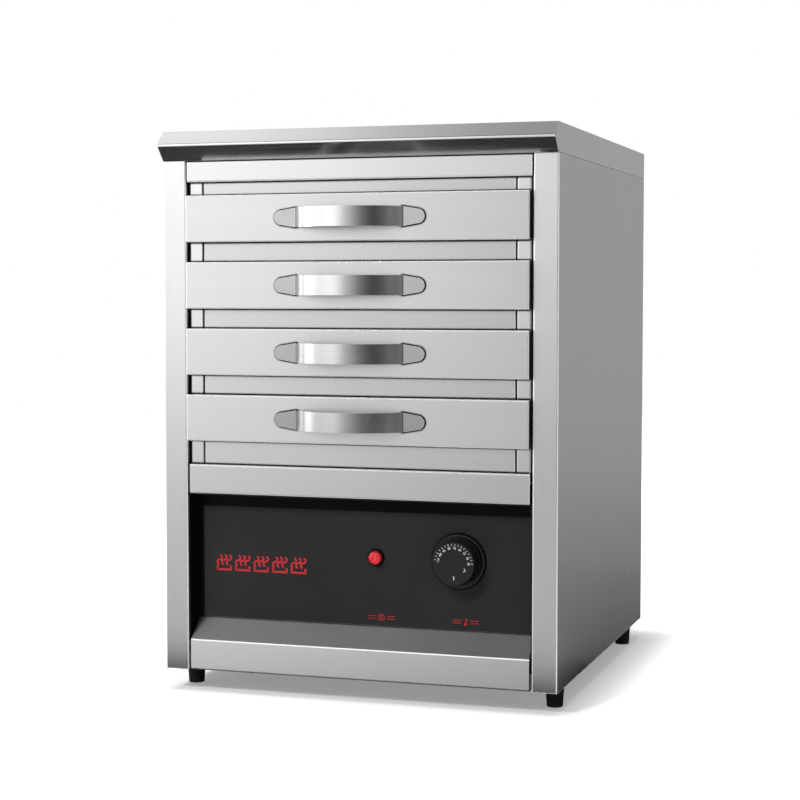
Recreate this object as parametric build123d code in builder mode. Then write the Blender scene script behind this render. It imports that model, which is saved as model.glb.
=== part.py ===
from build123d import *

import os
from math import radians, tan

# Table-top steamer for rice noodle rolls: four steam drawers over a heated water tank.
# Millimetres. +X is the user's right, -Y faces the user and +Z is up. The origin is on the
# floor, midway between the handles' front and the drain spout's end. "Depth" is measured
# rearwards from the front of the casing's corner posts.

# ---------------------------------------------------------------- driving dimensions

# Sheet metal
sheet = 1.0                # stainless steel sheet
bend_radius = 1.8          # outer radius of a fold
contact_gap = 0.1          # between sheets that lie on each other
slide_gap = 0.3            # between a drawer and what it passes
edge_flange = 12.0         # inward flange along a sheet's edge

# Casing
body_width = 400.0
body_depth = 430.0
body_height = 504.0        # lower edge of the side sheets to the cap
ground_clearance = 22.0    # floor to the lower edge of the side sheets
post_width = 24.6          # front face of the corner posts
post_return = 3.5          # the posts' inner edge, folded back
rear_flange = 15.0

# Cap
cap_height = 29.0
cap_overhang = 13.4        # how far the lip stands in front of the posts
cap_lip_rise = 13.9        # top of the casing to the lip's lower edge
cap_lip_height = 2.0
cap_edge_radius = 1.2

# Front frame
frame_setback = 4.0        # posts' front to the stiles and rails
channel_depth = 8.0        # stiles and rails, front to back
frame_plate_margin = 4.0   # frame plate above the stiles
stile_width = 14.4
stile_post_gap = 2.2
stile_rail_gap = 1.0
fascia_post_gap = 1.2
lower_post_gap = 2.4       # lower fascia and plinth to the posts
top_fascia_height = 20.7
lower_fascia_top = 205.8   # above the casing's lower edge
lower_fascia_height = 29.0
fascia_overlap = 10.0      # stiles and rails behind the fascias

# Drawers
drawer_count = 4
drawers_below_top = 34.0   # top of the casing to the first drawer's face
drawer_face_gap = 19.5     # between one face and the next
drawers_above_fascia = 23.7
front_post_gap = 2.1
front_proud = 6.6          # drawer faces in front of the posts
front_bend = 1.3
window_overlap = 5.0       # drawer face beyond its window, at top and bottom
window_stile_gap = 0.8
window_side_gap = 2.0      # window beyond the tray's rims
tray_rear_gap = 36.3       # tray to the chamber's rear wall
tray_rise = 7.0            # drawer face's lower edge to the tray's underside
tray_headroom = 9.5        # tray's rim to the face's upper edge
tray_corner = 2.0
rim_width = 8.0
runner_side_gap = 2.0      # runner to the tray's wall
runner_drop = 15.0         # the runner's flange on the chamber wall

# Drawer handles
handle_span = 107.0        # between the bends
handle_reach = 29.0        # in front of the drawer's face
handle_height = 19.0
handle_thickness = 2.0
handle_bend = 1.2
handle_tab = 22.4          # bend to the tab's tip
handle_tab_end = 13.8      # the tab's height at its rounded end
handle_shift = -3.2        # handles sit a little left of the middle

# Plinth and control recess
plinth_lift = 0.3
plinth_height = 30.0
shelf_angle = 44.3         # sloping shelf under the control panel
plinth_tab = 14.0          # plinth's foot flange and its upright flange
panel_setback = 20.0
panel_shelf_gap = 1.6      # panel's lower edge above the shelf's rear edge
surround_setback = 1.2
surround_gap = 0.2         # surround to the posts

# Controls
knob_x = 98.8
knob_face_radius = 20.6
knob_base_radius = 21.2
knob_skirt_radius = 22.8
knob_skirt_height = 3.2
knob_face_thickness = 3.0
knob_edge = 0.6
knob_wall = 2.4
knob_hub_radius = 7.0
knob_plate_gap = 0.8       # knob to the dial plate
dial_radius = 26.0
dial_thickness = 1.6
dial_rim = 1.5
dial_rim_rise = 0.9
pointer_length = 2.0
shaft_radius = 3.0
shaft_flat = 0.8           # depth of the flat in the knob
shaft_clearance = 0.05
shaft_hole_gap = 1.2       # panel's and dial plate's holes round the shaft
shaft_in_thermostat = 18.0
lamp_x = 15.0
bezel_radius = 7.4
bezel_height = 2.2
bezel_rim = 1.0
lens_height = 3.8          # the lens's crown beyond the bezel
lens_edge = 1.6
lamp_barrel_radius = 5.8
lamp_barrel_length = 26.0
lamp_nut_width = 17.0
lamp_nut_height = 4.0
lamp_tab = (2.8, 0.8, 8.0)
hole_clearance = 0.2

# Steam chamber
chamber_side_gap = 14.0    # chamber walls beyond the trays' rims
chamber_rear_gap = 30.0    # rear wall to the casing's rear
chamber_top_gap = 11.0     # ceiling below the top of the casing
insulation_gap = 0.3
cap_insulation_inset = 2.0

# Water tank
shelf_rise = 12.2          # tank's rim above the lower fascia
tank_depth = 65.0
tank_wall_gap = 5.0        # tank walls inside the chamber walls
tank_front_setback = 25.0
tank_rear_gap = 5.0
tank_corner = 2.0

# Heating element
element_radius = 4.0
element_height = 19.0      # element axis above the tank floor
element_spacing = 80.0     # between neighbouring runs
element_front = 60.0       # depth of the two ends
element_turn_front = 100.0
element_rear_gap = 55.0    # rear turns to the tank's rear wall
element_bend = 14.0        # from the ends into the outer runs
element_turn = 39.0        # between neighbouring runs
element_drop = 15.0        # ends below the tank floor
fitting_radius = 10.0
fitting_neck = 6.0
fitting_flange = 3.0
fitting_nut = 5.0

# Thermostat
thermostat_size = 45.0
thermostat_tank_gap = 12.5 # thermostat below the tank
thermostat_depth = 32.0
thermostat_edge = 2.0
capillary_radius = 1.0
capillary_bend = 15.0
capillary_rear = 85.0      # depth at which it climbs into the tank
bulb_radius = 3.0
bulb_front = 120.0
bulb_length = 80.0
bulb_height = 12.0         # above the tank floor
probe_fitting_radius = 6.0
probe_fitting_neck = 3.0
spade_tab = (6.3, 0.8, 9.0)

# Terminal block and wiring
terminal_x = -110.0
terminal_depth = 90.0
terminal_ways = 5
terminal_spacing = 13.0
terminal_width = 24.0
terminal_height = 20.0
terminal_barrier = 2.0
wire_radius = 1.5

# Base, rear and service cover
base_wall = 15.0
vent_count = 9
vent_length = 60.0
vent_width = 5.0
vent_pitch = 14.0
vent_depth = 260.0
service_side = 55.0        # casing's side to the cover
service_bottom = 14.0      # above the casing's lower edge
service_height = 140.0
service_lap = 15.0         # cover beyond its opening
louvre_columns = 2
louvre_rows = 7
louvre_length = 90.0
louvre_width = 5.0
louvre_rise = 2.5
louvre_pitch_x = 110.0
louvre_pitch_z = 14.0

# Fasteners
screw_radius = 1.6
screw_head_radius = 3.5
screw_head_height = 2.2
screw_length = 9.0
recess_width = 0.9
recess_span = 4.0
recess_depth = 1.0
rear_screw_heights = (38.0, 250.0, 466.0)
service_screw_inset = 7.0

# Feet
foot_side_inset = 12.6
foot_front_inset = 46.0
foot_rear_inset = 48.0
foot_top_radius = 9.4
foot_base_radius = 7.8
foot_edge = 0.8
foot_screw_radius = 2.0
foot_head_radius = 3.8
foot_head_height = 3.0
foot_bore_depth = 9.0
foot_screw_length = 20.0

# Cable gland
gland_side_inset = 35.0
gland_height = 40.0
gland_hex = 24.0
gland_hex_height = 6.0
gland_dome_radius = 10.5
gland_dome_height = 16.0
gland_bore_radius = 4.2
gland_thread_radius = 8.0
gland_thread_length = 10.0
gland_nut_height = 5.0

# Drain
drain_side_inset = 90.0    # drain inside the casing's side
drain_radius = 7.0
drain_bore = 5.0
drain_inside = 5.0         # pipe's end inside the tank
valve_start = 3.0          # valve behind the casing
valve_socket_radius = 11.0
valve_socket_length = 11.0
valve_block_radius = 13.0
valve_block_length = 22.0
valve_socket_grip = 9.0
spout_length = 14.0
spout_radius = 7.0
ball_radius = 7.6
stem_radius = 3.0
stem_collar_radius = 5.5
stem_collar_height = 4.0
lever_length = 58.0
lever_width = 11.0
lever_thickness = 2.0
lever_lift = 5.0           # lever above the collar
lever_tip_width = 8.0
lever_corner = 3.0
collar_root = 1.0          # collar's foot inside the valve's round body

# ---------------------------------------------------------------- derived places

half_width = body_width / 2
body_bottom = ground_clearance
body_top = body_bottom + body_height
total_height = body_top + cap_height
rear_reach = valve_start + valve_socket_length + valve_block_length + spout_length
front_reach = front_proud + handle_reach
front_y = (front_reach - rear_reach - body_depth) / 2

inner_half = half_width - sheet - contact_gap
post_inner = half_width - post_width
stile_outer = post_inner - stile_post_gap
stile_inner = stile_outer - stile_width
rail_half = stile_inner - stile_rail_gap
frame_back = frame_setback + channel_depth
ring_back = frame_back + sheet
top_fascia_bottom = body_top - top_fascia_height
lower_fascia_z = body_bottom + lower_fascia_top
frame_top = top_fascia_bottom + fascia_overlap
frame_bottom = lower_fascia_z - fascia_overlap
rear_sheet_back = body_depth - sheet
rear_sheet_front = rear_sheet_back - sheet
rear_half = half_width - bend_radius - contact_gap

drawer_numbers = range(1, drawer_count + 1)
stack_height = body_top - drawers_below_top - lower_fascia_z - drawers_above_fascia
drawer_pitch = (stack_height + drawer_face_gap) / drawer_count
front_height = drawer_pitch - drawer_face_gap
front_half = post_inner - front_post_gap
front_rear = frame_setback - slide_gap
window_half = stile_inner - window_stile_gap
rim_half = window_half - window_side_gap
chamber_half = rim_half + chamber_side_gap
chamber_wall_half = chamber_half + sheet
chamber_depth = body_depth - chamber_rear_gap
tray_width = 2 * (rim_half - rim_width)
tray_length = chamber_depth - tray_rear_gap - front_rear
tray_height = front_height - tray_rise - tray_headroom

ceiling_z = body_top - chamber_top_gap
shelf_z = lower_fascia_z + shelf_rise
tank_bottom = shelf_z - tank_depth
tank_floor = tank_bottom + sheet
tank_half = chamber_half - tank_wall_gap
tank_back = chamber_depth - tank_rear_gap
element_rear = tank_back - element_rear_gap
control_z = tank_bottom - thermostat_tank_gap - thermostat_size / 2

service_width = body_width - 2 * service_side
gland_x = gland_side_inset - half_width
drain_x = half_width - drain_side_inset
foot_x = half_width - foot_side_inset
foot_depths = (foot_front_inset, body_depth - foot_rear_inset)

plinth_bottom = body_bottom + plinth_lift
plinth_top = plinth_bottom + plinth_height
panel_back = panel_setback + sheet
shelf_rear = panel_back + contact_gap
shelf_rear_z = plinth_top + shelf_rear * tan(radians(shelf_angle))
panel_bottom = shelf_rear_z + panel_shelf_gap - sheet
lower_half = post_inner - lower_post_gap
surround_half = post_inner - surround_gap
surround_top = lower_fascia_z - lower_fascia_height - contact_gap
knob_back = panel_setback - dial_thickness - knob_plate_gap

base_plate_z = plinth_bottom + sheet + contact_gap
base_inside_z = base_plate_z + sheet
hands = (("left", -1, Side.RIGHT, Side.LEFT), ("right", 1, Side.LEFT, Side.RIGHT))


def drawer_bottom(number):
    """Height of the lower edge of a drawer's face. Drawer 1 is the top one."""
    return body_top - drawers_below_top - front_height - (number - 1) * drawer_pitch


def rim_underside(number):
    """Height of the underside of a tray's rim, which slides on the runners."""
    return drawer_bottom(number) + tray_rise + tray_height - sheet


# ---------------------------------------------------------------- planes and shapes


def front_view(depth):
    """Plane at a depth, seen from the front: its sketches use x and height."""
    return Plane(origin=(0, front_y + depth, 0), x_dir=(1, 0, 0), z_dir=(0, -1, 0))


def side_view(x):
    """Plane at an x, seen from the right: its sketches use depth and height."""
    return Plane(origin=(x, front_y, 0), x_dir=(0, 1, 0), z_dir=(1, 0, 0))


def top_view(z):
    """Plane at a height, seen from above: its sketches use x and depth."""
    return Plane(origin=(0, front_y, z), x_dir=(1, 0, 0), z_dir=(0, 0, 1))


def place(x, depth, z):
    """Point given by x, depth and height."""
    return (x, front_y + depth, z)


def block(x, depth, z, mode=Mode.ADD):
    """Box between two values each of x, depth and height."""
    (x0, x1), (y0, y1), (z0, z1) = sorted(x), sorted(depth), sorted(z)
    with Locations(place(x0, y0, z0)):
        Box(x1 - x0, y1 - y0, z1 - z0, align=Align.MIN, mode=mode)


def folded(*points, material):
    """Section of a folded sheet whose metal lies on one side of the line of points."""
    with BuildSketch() as section:
        with BuildLine():
            FilletPolyline(*points, radius=bend_radius)
            offset(amount=sheet, side=material)
        make_face()
    return section.sketch


def mirrored_x(side, *points):
    """The points as given for the right side (1), or mirrored to the left side (-1)."""
    return [(side * x, depth) for x, depth in points]


def tube(radius, *points, bends):
    """Round rod or tube along straight runs joined by tangent arcs."""
    with BuildPart() as rod:
        with BuildLine() as route:
            FilletPolyline(*points, radius=bends)
        with BuildSketch(Plane(origin=route.line @ 0, z_dir=route.line % 0)):
            Circle(radius)
        sweep()
    return rod.part


def round_rod(radius, x, z, depth_from, depth_to, mode=Mode.ADD):
    """Round rod along the depth, at an x and a height."""
    with Locations(Plane(origin=place(x, depth_from, z), x_dir=(1, 0, 0), z_dir=(0, 1, 0))):
        align = (Align.CENTER, Align.CENTER, Align.MIN)
        Cylinder(radius, depth_to - depth_from, align=align, mode=mode)


# ---------------------------------------------------------------- casing

with BuildPart() as top_cap:
    with BuildSketch(side_view(-half_width)) as cap_outline:
        lip_z = body_top + cap_lip_rise
        with BuildLine():
            Polyline(
                (0, body_top),
                (-cap_overhang, lip_z),
                (-cap_overhang, lip_z + cap_lip_height),
                (0, total_height),
                (body_depth, total_height),
                (body_depth, body_top),
                close=True,
            )
        make_face()
    extrude(amount=body_width)
    fillet(top_cap.edges(), radius=cap_edge_radius)
    with BuildSketch(side_view(-half_width + sheet)):
        add(cap_outline.sketch_local)
        offset(amount=-sheet, kind=Kind.INTERSECTION)
    extrude(amount=body_width - 2 * sheet, mode=Mode.SUBTRACT)
    cap_window_half = half_width - sheet - edge_flange
    cap_window = (edge_flange, body_depth - sheet - edge_flange)
    cap_floor = (body_top, body_top + sheet)
    block((-cap_window_half, cap_window_half), cap_window, cap_floor, mode=Mode.SUBTRACT)
top_cap.part.label = "top_cap"

rear_screws = {}
side_panels = []
for hand, side, inwards, outwards in hands:
    rear_screws[hand] = [
        (side * (half_width - rear_flange / 2), body_bottom + height)
        for height in rear_screw_heights
    ]
    with BuildPart() as side_panel:
        with BuildSketch(top_view(body_bottom)):
            outline = mirrored_x(
                side,
                (post_inner, post_return),
                (post_inner, 0),
                (half_width, 0),
                (half_width, body_depth),
                (half_width - rear_flange, body_depth),
            )
            add(folded(*outline, material=inwards))
        extrude(amount=body_height)
        flange_x = (side * (half_width - sheet), side * (half_width - sheet - edge_flange))
        flange_depth = (frame_setback, rear_sheet_front - contact_gap)
        block(flange_x, flange_depth, (body_top - sheet, body_top))
        with BuildSketch(front_view(body_depth)):
            with Locations(*rear_screws[hand]):
                Circle(screw_radius + hole_clearance)
        extrude(amount=sheet, mode=Mode.SUBTRACT)
    side_panel.part.label = f"side_panel_{hand}"
    side_panels.append(side_panel)

drain_z = tank_floor + drain_radius + contact_gap
gland_z = body_bottom + gland_height
service_z = (body_bottom + service_bottom, body_bottom + service_bottom + service_height)
service_middle = sum(service_z) / 2
service_screw_x = service_width / 2 - service_screw_inset
service_screw_z = service_height / 2 - service_screw_inset
service_screws = [
    (x * service_screw_x, service_middle + z * service_screw_z) for x in (-1, 1) for z in (-1, 1)
]

with BuildPart() as rear_panel:
    rear_heights = (plinth_bottom, body_top - contact_gap)
    block((-rear_half, rear_half), (rear_sheet_front, rear_sheet_back), rear_heights)
    with BuildSketch(front_view(rear_sheet_back)):
        with Locations((0, service_middle)):
            Rectangle(service_width - 2 * service_lap, service_height - 2 * service_lap)
        with Locations((drain_x, drain_z)):
            Circle(drain_radius + hole_clearance)
        with Locations((gland_x, gland_z)):
            Circle(gland_thread_radius + hole_clearance)
        with Locations(*rear_screws["left"], *rear_screws["right"], *service_screws):
            Circle(screw_radius + hole_clearance)
    extrude(amount=sheet, mode=Mode.SUBTRACT)
rear_panel.part.label = "rear_panel"

with BuildPart() as service_cover:
    block((-service_width / 2, service_width / 2), (rear_sheet_back, body_depth), service_z)
    louvre_plane = front_view(body_depth)
    louvre_centre = (0, service_middle)
    with BuildSketch(louvre_plane):
        with Locations(louvre_centre):
            with GridLocations(louvre_pitch_x, louvre_pitch_z, louvre_columns, louvre_rows):
                SlotOverall(louvre_length + 2 * sheet, louvre_width + 2 * sheet)
    extrude(amount=-louvre_rise)
    with BuildSketch(louvre_plane.offset(-louvre_rise + sheet)):
        with Locations(louvre_centre):
            with GridLocations(louvre_pitch_x, louvre_pitch_z, louvre_columns, louvre_rows):
                SlotOverall(louvre_length, louvre_width)
    extrude(amount=louvre_rise + sheet, mode=Mode.SUBTRACT)
    with BuildSketch(louvre_plane.offset(-louvre_rise)):
        with Locations((0, service_middle - (louvre_width + sheet) / 2)):
            with GridLocations(louvre_pitch_x, louvre_pitch_z, louvre_columns, louvre_rows):
                Rectangle(louvre_length - louvre_width, louvre_width / 2)
    extrude(amount=louvre_rise, mode=Mode.SUBTRACT)
    with BuildSketch(louvre_plane):
        with Locations(*service_screws):
            Circle(screw_radius + hole_clearance)
    extrude(amount=sheet, mode=Mode.SUBTRACT)
service_cover.part.label = "service_cover"

foot_places = [(side * foot_x, depth) for side in (-1, 1) for depth in foot_depths]

with BuildPart() as base_pan:
    pan_front = frame_setback + contact_gap
    pan_back = rear_sheet_front - contact_gap
    wall_x = inner_half - sheet
    pan_heights = (base_plate_z, base_plate_z + base_wall)
    block((-inner_half, inner_half), (pan_front, pan_back), pan_heights)
    inside_heights = (base_inside_z, base_plate_z + base_wall)
    block((-wall_x, wall_x), (pan_front + sheet, pan_back - sheet), inside_heights, Mode.SUBTRACT)
    with BuildSketch(top_view(base_plate_z)):
        with Locations(*foot_places):
            Circle(foot_screw_radius + hole_clearance)
        with Locations((0, vent_depth)):
            with GridLocations(vent_pitch, vent_length, vent_count, 1):
                SlotOverall(vent_length, vent_width, rotation=90)
    extrude(amount=sheet, mode=Mode.SUBTRACT)
base_pan.part.label = "base_pan"

# ---------------------------------------------------------------- front frame

fascia_half = post_inner - fascia_post_gap
flange_end = frame_setback - contact_gap

with BuildPart() as top_fascia:
    with BuildSketch(side_view(-fascia_half)):
        fascia_top = body_top - contact_gap
        outline = [
            (edge_flange, fascia_top),
            (0, fascia_top),
            (0, top_fascia_bottom),
            (flange_end, top_fascia_bottom),
        ]
        add(folded(*outline, material=Side.LEFT))
    extrude(amount=2 * fascia_half)
top_fascia.part.label = "top_fascia"

with BuildPart() as lower_fascia:
    with BuildSketch(side_view(-lower_half)):
        fascia_bottom = lower_fascia_z - lower_fascia_height
        outline = [
            (flange_end, lower_fascia_z),
            (0, lower_fascia_z),
            (0, fascia_bottom),
            (panel_setback - contact_gap, fascia_bottom),
        ]
        add(folded(*outline, material=Side.LEFT))
    extrude(amount=2 * lower_half)
lower_fascia.part.label = "lower_fascia"

stiles = []
for hand, side, inwards, outwards in hands:
    with BuildPart() as stile:
        with BuildSketch(top_view(frame_bottom)):
            outline = mirrored_x(
                side,
                (stile_inner, frame_back),
                (stile_inner, frame_setback),
                (stile_outer, frame_setback),
                (stile_outer, frame_back),
            )
            add(folded(*outline, material=inwards))
        extrude(amount=frame_top - frame_bottom)
    stile.part.label = f"stile_{hand}"
    stiles.append(stile)

window_bottoms = [drawer_bottom(number) + window_overlap for number in drawer_numbers]
window_height = front_height - 2 * window_overlap
rail_tops = [frame_top] + window_bottoms
rail_bottoms = [bottom + window_height for bottom in window_bottoms] + [frame_bottom]

with BuildPart() as cross_rails:
    with BuildSketch(side_view(-rail_half)):
        for top, bottom in zip(rail_tops, rail_bottoms):
            outline = [
                (frame_back, bottom),
                (frame_setback, bottom),
                (frame_setback, top),
                (frame_back, top),
            ]
            add(folded(*outline, material=Side.RIGHT))
    extrude(amount=2 * rail_half)
cross_rails.part.label = "cross_rails"

with BuildPart() as plinth:
    with BuildSketch(side_view(-lower_half)):
        outline = [
            (plinth_tab, plinth_bottom),
            (0, plinth_bottom),
            (0, plinth_top),
            (shelf_rear, shelf_rear_z),
            (shelf_rear, shelf_rear_z + plinth_tab),
        ]
        add(folded(*outline, material=Side.RIGHT))
    extrude(amount=2 * lower_half)
plinth.part.label = "plinth"

with BuildPart() as control_surround:
    surround_depth = (surround_setback, panel_setback - contact_gap)
    block((-surround_half, surround_half), surround_depth, (plinth_top, surround_top))
    inside_half = surround_half - sheet
    inside = (plinth_top, surround_top - sheet)
    block((-inside_half, inside_half), surround_depth, inside, Mode.SUBTRACT)
control_surround.part.label = "control_surround"

with BuildPart() as control_panel:
    panel_heights = (panel_bottom, shelf_z - sheet)
    block((-inner_half, inner_half), (panel_setback, panel_back), panel_heights)
    with BuildSketch(front_view(panel_back)):
        with Locations((knob_x, control_z)):
            Circle(shaft_radius + shaft_hole_gap)
        with Locations((lamp_x, control_z)):
            Circle(lamp_barrel_radius + hole_clearance)
    extrude(amount=sheet, mode=Mode.SUBTRACT)
control_panel.part.label = "control_panel"

# ---------------------------------------------------------------- steam chamber

with BuildPart() as chamber_front_frame:
    frame_heights = (shelf_z - base_wall, frame_top + frame_plate_margin)
    block((-inner_half, inner_half), (frame_back, ring_back), frame_heights)
    with BuildSketch(front_view(ring_back)):
        for bottom in window_bottoms:
            with Locations((0, bottom + window_height / 2)):
                Rectangle(2 * window_half, window_height)
    extrude(amount=sheet, mode=Mode.SUBTRACT)
chamber_front_frame.part.label = "chamber_front_frame"

chamber_walls = []
for hand, side, inwards, outwards in hands:
    with BuildPart() as chamber_wall:
        with BuildSketch(top_view(shelf_z)):
            outline = mirrored_x(
                side,
                (inner_half, ring_back),
                (chamber_half, ring_back),
                (chamber_half, chamber_depth),
                (inner_half, chamber_depth),
            )
            add(folded(*outline, material=outwards))
        extrude(amount=ceiling_z - shelf_z)
    chamber_wall.part.label = f"chamber_{hand}_wall"
    chamber_walls.append(chamber_wall)

with BuildPart() as chamber_rear_wall:
    rear_wall_depth = (chamber_depth, chamber_depth + sheet)
    block((-inner_half, inner_half), rear_wall_depth, (shelf_z, ceiling_z))
chamber_rear_wall.part.label = "chamber_rear_wall"

with BuildPart() as chamber_ceiling:
    ceiling_depth = (ring_back, chamber_depth + sheet)
    ceiling_x = (-chamber_wall_half, chamber_wall_half)
    block(ceiling_x, ceiling_depth, (ceiling_z, ceiling_z + sheet))
chamber_ceiling.part.label = "chamber_ceiling"

runner_inner = tray_width / 2 + runner_side_gap

with BuildPart() as drawer_runners:
    for number in drawer_numbers:
        runner_top = rim_underside(number) - slide_gap
        for hand, side, inwards, outwards in hands:
            with BuildSketch(front_view(ring_back)):
                outline = mirrored_x(
                    side,
                    (runner_inner, runner_top),
                    (chamber_half, runner_top),
                    (chamber_half, runner_top - runner_drop),
                )
                add(folded(*outline, material=outwards))
            extrude(amount=-(chamber_depth - ring_back))
drawer_runners.part.label = "drawer_runners"

with BuildPart() as insulation_boards:
    board_heights = (shelf_z + insulation_gap, ceiling_z - insulation_gap)
    board_outer = inner_half - insulation_gap
    side_depth = (ring_back + sheet + insulation_gap, chamber_depth - sheet - insulation_gap)
    for hand, side, inwards, outwards in hands:
        board_x = (side * (chamber_wall_half + insulation_gap), side * board_outer)
        block(board_x, side_depth, board_heights)
    rear_depth = (chamber_depth + sheet + insulation_gap, rear_sheet_front - insulation_gap)
    rear_board_half = half_width - rear_flange - insulation_gap
    block((-rear_board_half, rear_board_half), rear_depth, board_heights)
    top_heights = (ceiling_z + sheet + insulation_gap, total_height - sheet - insulation_gap)
    top_depth = (cap_window[0] + cap_insulation_inset, chamber_depth)
    block((-chamber_half, chamber_half), top_depth, top_heights)
insulation_boards.part.label = "insulation_boards"

# ---------------------------------------------------------------- water tank and heating

element_x = 1.5 * element_spacing
element_ends = [(-element_x, element_front), (element_x, element_front)]
probe_hole = (knob_x, capillary_rear)

with BuildPart() as water_tank:
    tank_middle = (tank_front_setback + tank_back) / 2
    tank_length = tank_back - tank_front_setback
    with BuildSketch(top_view(tank_bottom)):
        with Locations((0, tank_middle)):
            RectangleRounded(2 * tank_half, tank_length, tank_corner)
    extrude(amount=tank_depth)
    shelf_depth = (ring_back, rear_sheet_front - contact_gap)
    block((-inner_half, inner_half), shelf_depth, (shelf_z - sheet, shelf_z))
    for hand, side, inwards, outwards in hands:
        lip_x = (side * (inner_half - sheet), side * inner_half)
        lip_depth = (shelf_rear, shelf_depth[1])
        block(lip_x, lip_depth, (shelf_z - base_wall, shelf_z))
    with BuildSketch(top_view(tank_floor)):
        with Locations((0, tank_middle)):
            inside_width = 2 * (tank_half - sheet)
            RectangleRounded(inside_width, tank_length - 2 * sheet, tank_corner - sheet)
    extrude(amount=tank_depth, mode=Mode.SUBTRACT)
    with BuildSketch(top_view(tank_bottom)):
        with Locations(*element_ends):
            Circle(fitting_neck + contact_gap)
        with Locations(probe_hole):
            Circle(probe_fitting_neck + contact_gap)
    extrude(amount=sheet, mode=Mode.SUBTRACT)
    round_rod(
        drain_radius + contact_gap,
        drain_x,
        drain_z,
        tank_back - sheet,
        tank_back,
        mode=Mode.SUBTRACT,
    )
water_tank.part.label = "water_tank"

with BuildPart() as heating_element:
    run_z = tank_floor + element_height
    end_z = tank_bottom - element_drop
    inner_x = element_spacing / 2
    element_points = [
        place(-element_x, element_front, end_z),
        place(-element_x, element_front, run_z),
        place(-element_x, element_rear, run_z),
        place(-inner_x, element_rear, run_z),
        place(-inner_x, element_turn_front, run_z),
        place(inner_x, element_turn_front, run_z),
        place(inner_x, element_rear, run_z),
        place(element_x, element_rear, run_z),
        place(element_x, element_front, run_z),
        place(element_x, element_front, end_z),
    ]
    element_bends = [element_bend] + 6 * [element_turn] + [element_bend]
    add(tube(element_radius, *element_points, bends=element_bends))
heating_element.part.label = "heating_element"

with BuildPart() as element_fittings:
    for centre, flange, neck, bore in (
        (element_ends[0], fitting_radius, fitting_neck, element_radius),
        (element_ends[1], fitting_radius, fitting_neck, element_radius),
        (probe_hole, probe_fitting_radius, probe_fitting_neck, capillary_radius),
    ):
        for z, height, radius in (
            (tank_floor, fitting_flange, flange),
            (tank_bottom, sheet, neck),
            (tank_bottom, -fitting_nut, flange),
        ):
            with BuildSketch(top_view(z)):
                with Locations(centre):
                    Circle(radius)
                    Circle(bore + contact_gap, mode=Mode.SUBTRACT)
            extrude(amount=height)
element_fittings.part.label = "element_fittings"

# ---------------------------------------------------------------- thermostat and lamp

thermostat_back = panel_back + thermostat_depth

with BuildPart() as thermostat_body:
    with BuildSketch(front_view(panel_back)):
        with Locations((knob_x, control_z)):
            RectangleRounded(thermostat_size, thermostat_size, thermostat_edge)
    extrude(amount=-thermostat_depth)
    round_rod(
        shaft_radius + shaft_clearance,
        knob_x,
        control_z,
        panel_back,
        panel_back + shaft_in_thermostat + slide_gap,
        mode=Mode.SUBTRACT,
    )
    with BuildSketch(front_view(thermostat_back)):
        with Locations((knob_x, control_z)):
            with GridLocations(4 * spade_tab[0], thermostat_size / 2, 2, 2):
                Rectangle(spade_tab[0], spade_tab[1])
    extrude(amount=-spade_tab[2])
thermostat_body.part.label = "thermostat_body"

capillary_z = control_z + thermostat_size / 4
bulb_z = tank_floor + bulb_height

with BuildPart() as thermostat_probe:
    capillary_points = [
        place(knob_x, thermostat_back, capillary_z),
        place(knob_x, capillary_rear, capillary_z),
        place(knob_x, capillary_rear, bulb_z),
        place(knob_x, bulb_front + bulb_radius, bulb_z),
    ]
    capillary_bends = [capillary_bend, bulb_height - fitting_flange]
    add(tube(capillary_radius, *capillary_points, bends=capillary_bends))
    round_rod(bulb_radius, knob_x, bulb_z, bulb_front, bulb_front + bulb_length)
thermostat_probe.part.label = "thermostat_probe"

with BuildPart() as dial_plate:
    with BuildSketch(front_view(panel_setback)):
        with Locations((knob_x, control_z)):
            Circle(dial_radius)
            Circle(shaft_radius + shaft_hole_gap, mode=Mode.SUBTRACT)
    extrude(amount=dial_thickness)
    with BuildSketch(front_view(panel_setback - dial_thickness)):
        with Locations((knob_x, control_z)):
            Circle(dial_radius)
            Circle(dial_radius - dial_rim, mode=Mode.SUBTRACT)
        with Locations((knob_x, control_z + dial_radius - dial_rim)):
            Triangle(a=pointer_length, b=pointer_length, c=pointer_length, rotation=180)
    extrude(amount=dial_rim_rise)
dial_plate.part.label = "dial_plate"


def shaft_section(radius, flat):
    """Round section with one flat, as the knob's bore and the shaft's end have it."""
    with BuildSketch() as section:
        with Locations((knob_x, control_z)):
            Circle(radius)
            with Locations((0, radius)):
                Rectangle(2 * radius, 2 * flat, mode=Mode.SUBTRACT)
    return section.sketch


with BuildPart() as temperature_knob:
    knob_axis = Axis(origin=place(knob_x, 0, control_z), direction=(0, 1, 0))
    with BuildSketch(Plane(knob_axis.position, x_dir=(1, 0, 0), z_dir=(0, 0, 1))) as knob_half:
        skirt_front = knob_back - knob_skirt_height
        with BuildLine():
            Polyline(
                (0, 0),
                (knob_face_radius, 0),
                (knob_base_radius, skirt_front),
                (knob_skirt_radius, skirt_front),
                (knob_skirt_radius, knob_back),
                (0, knob_back),
                close=True,
            )
        make_face()
        outer_corners = knob_half.vertices().group_by(Axis.X)[1:]
        fillet([corner for group in outer_corners for corner in group], radius=knob_edge)
    revolve(axis=knob_axis)
    with BuildSketch(front_view(knob_back)):
        with Locations((knob_x, control_z)):
            Circle(knob_face_radius - knob_wall)
            Circle(knob_hub_radius, mode=Mode.SUBTRACT)
    extrude(amount=knob_back - knob_face_thickness, mode=Mode.SUBTRACT)
    with BuildSketch(front_view(knob_back)):
        add(shaft_section(shaft_radius + shaft_clearance, shaft_flat))
    extrude(amount=knob_back - knob_face_thickness, mode=Mode.SUBTRACT)
temperature_knob.part.label = "temperature_knob"

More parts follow.
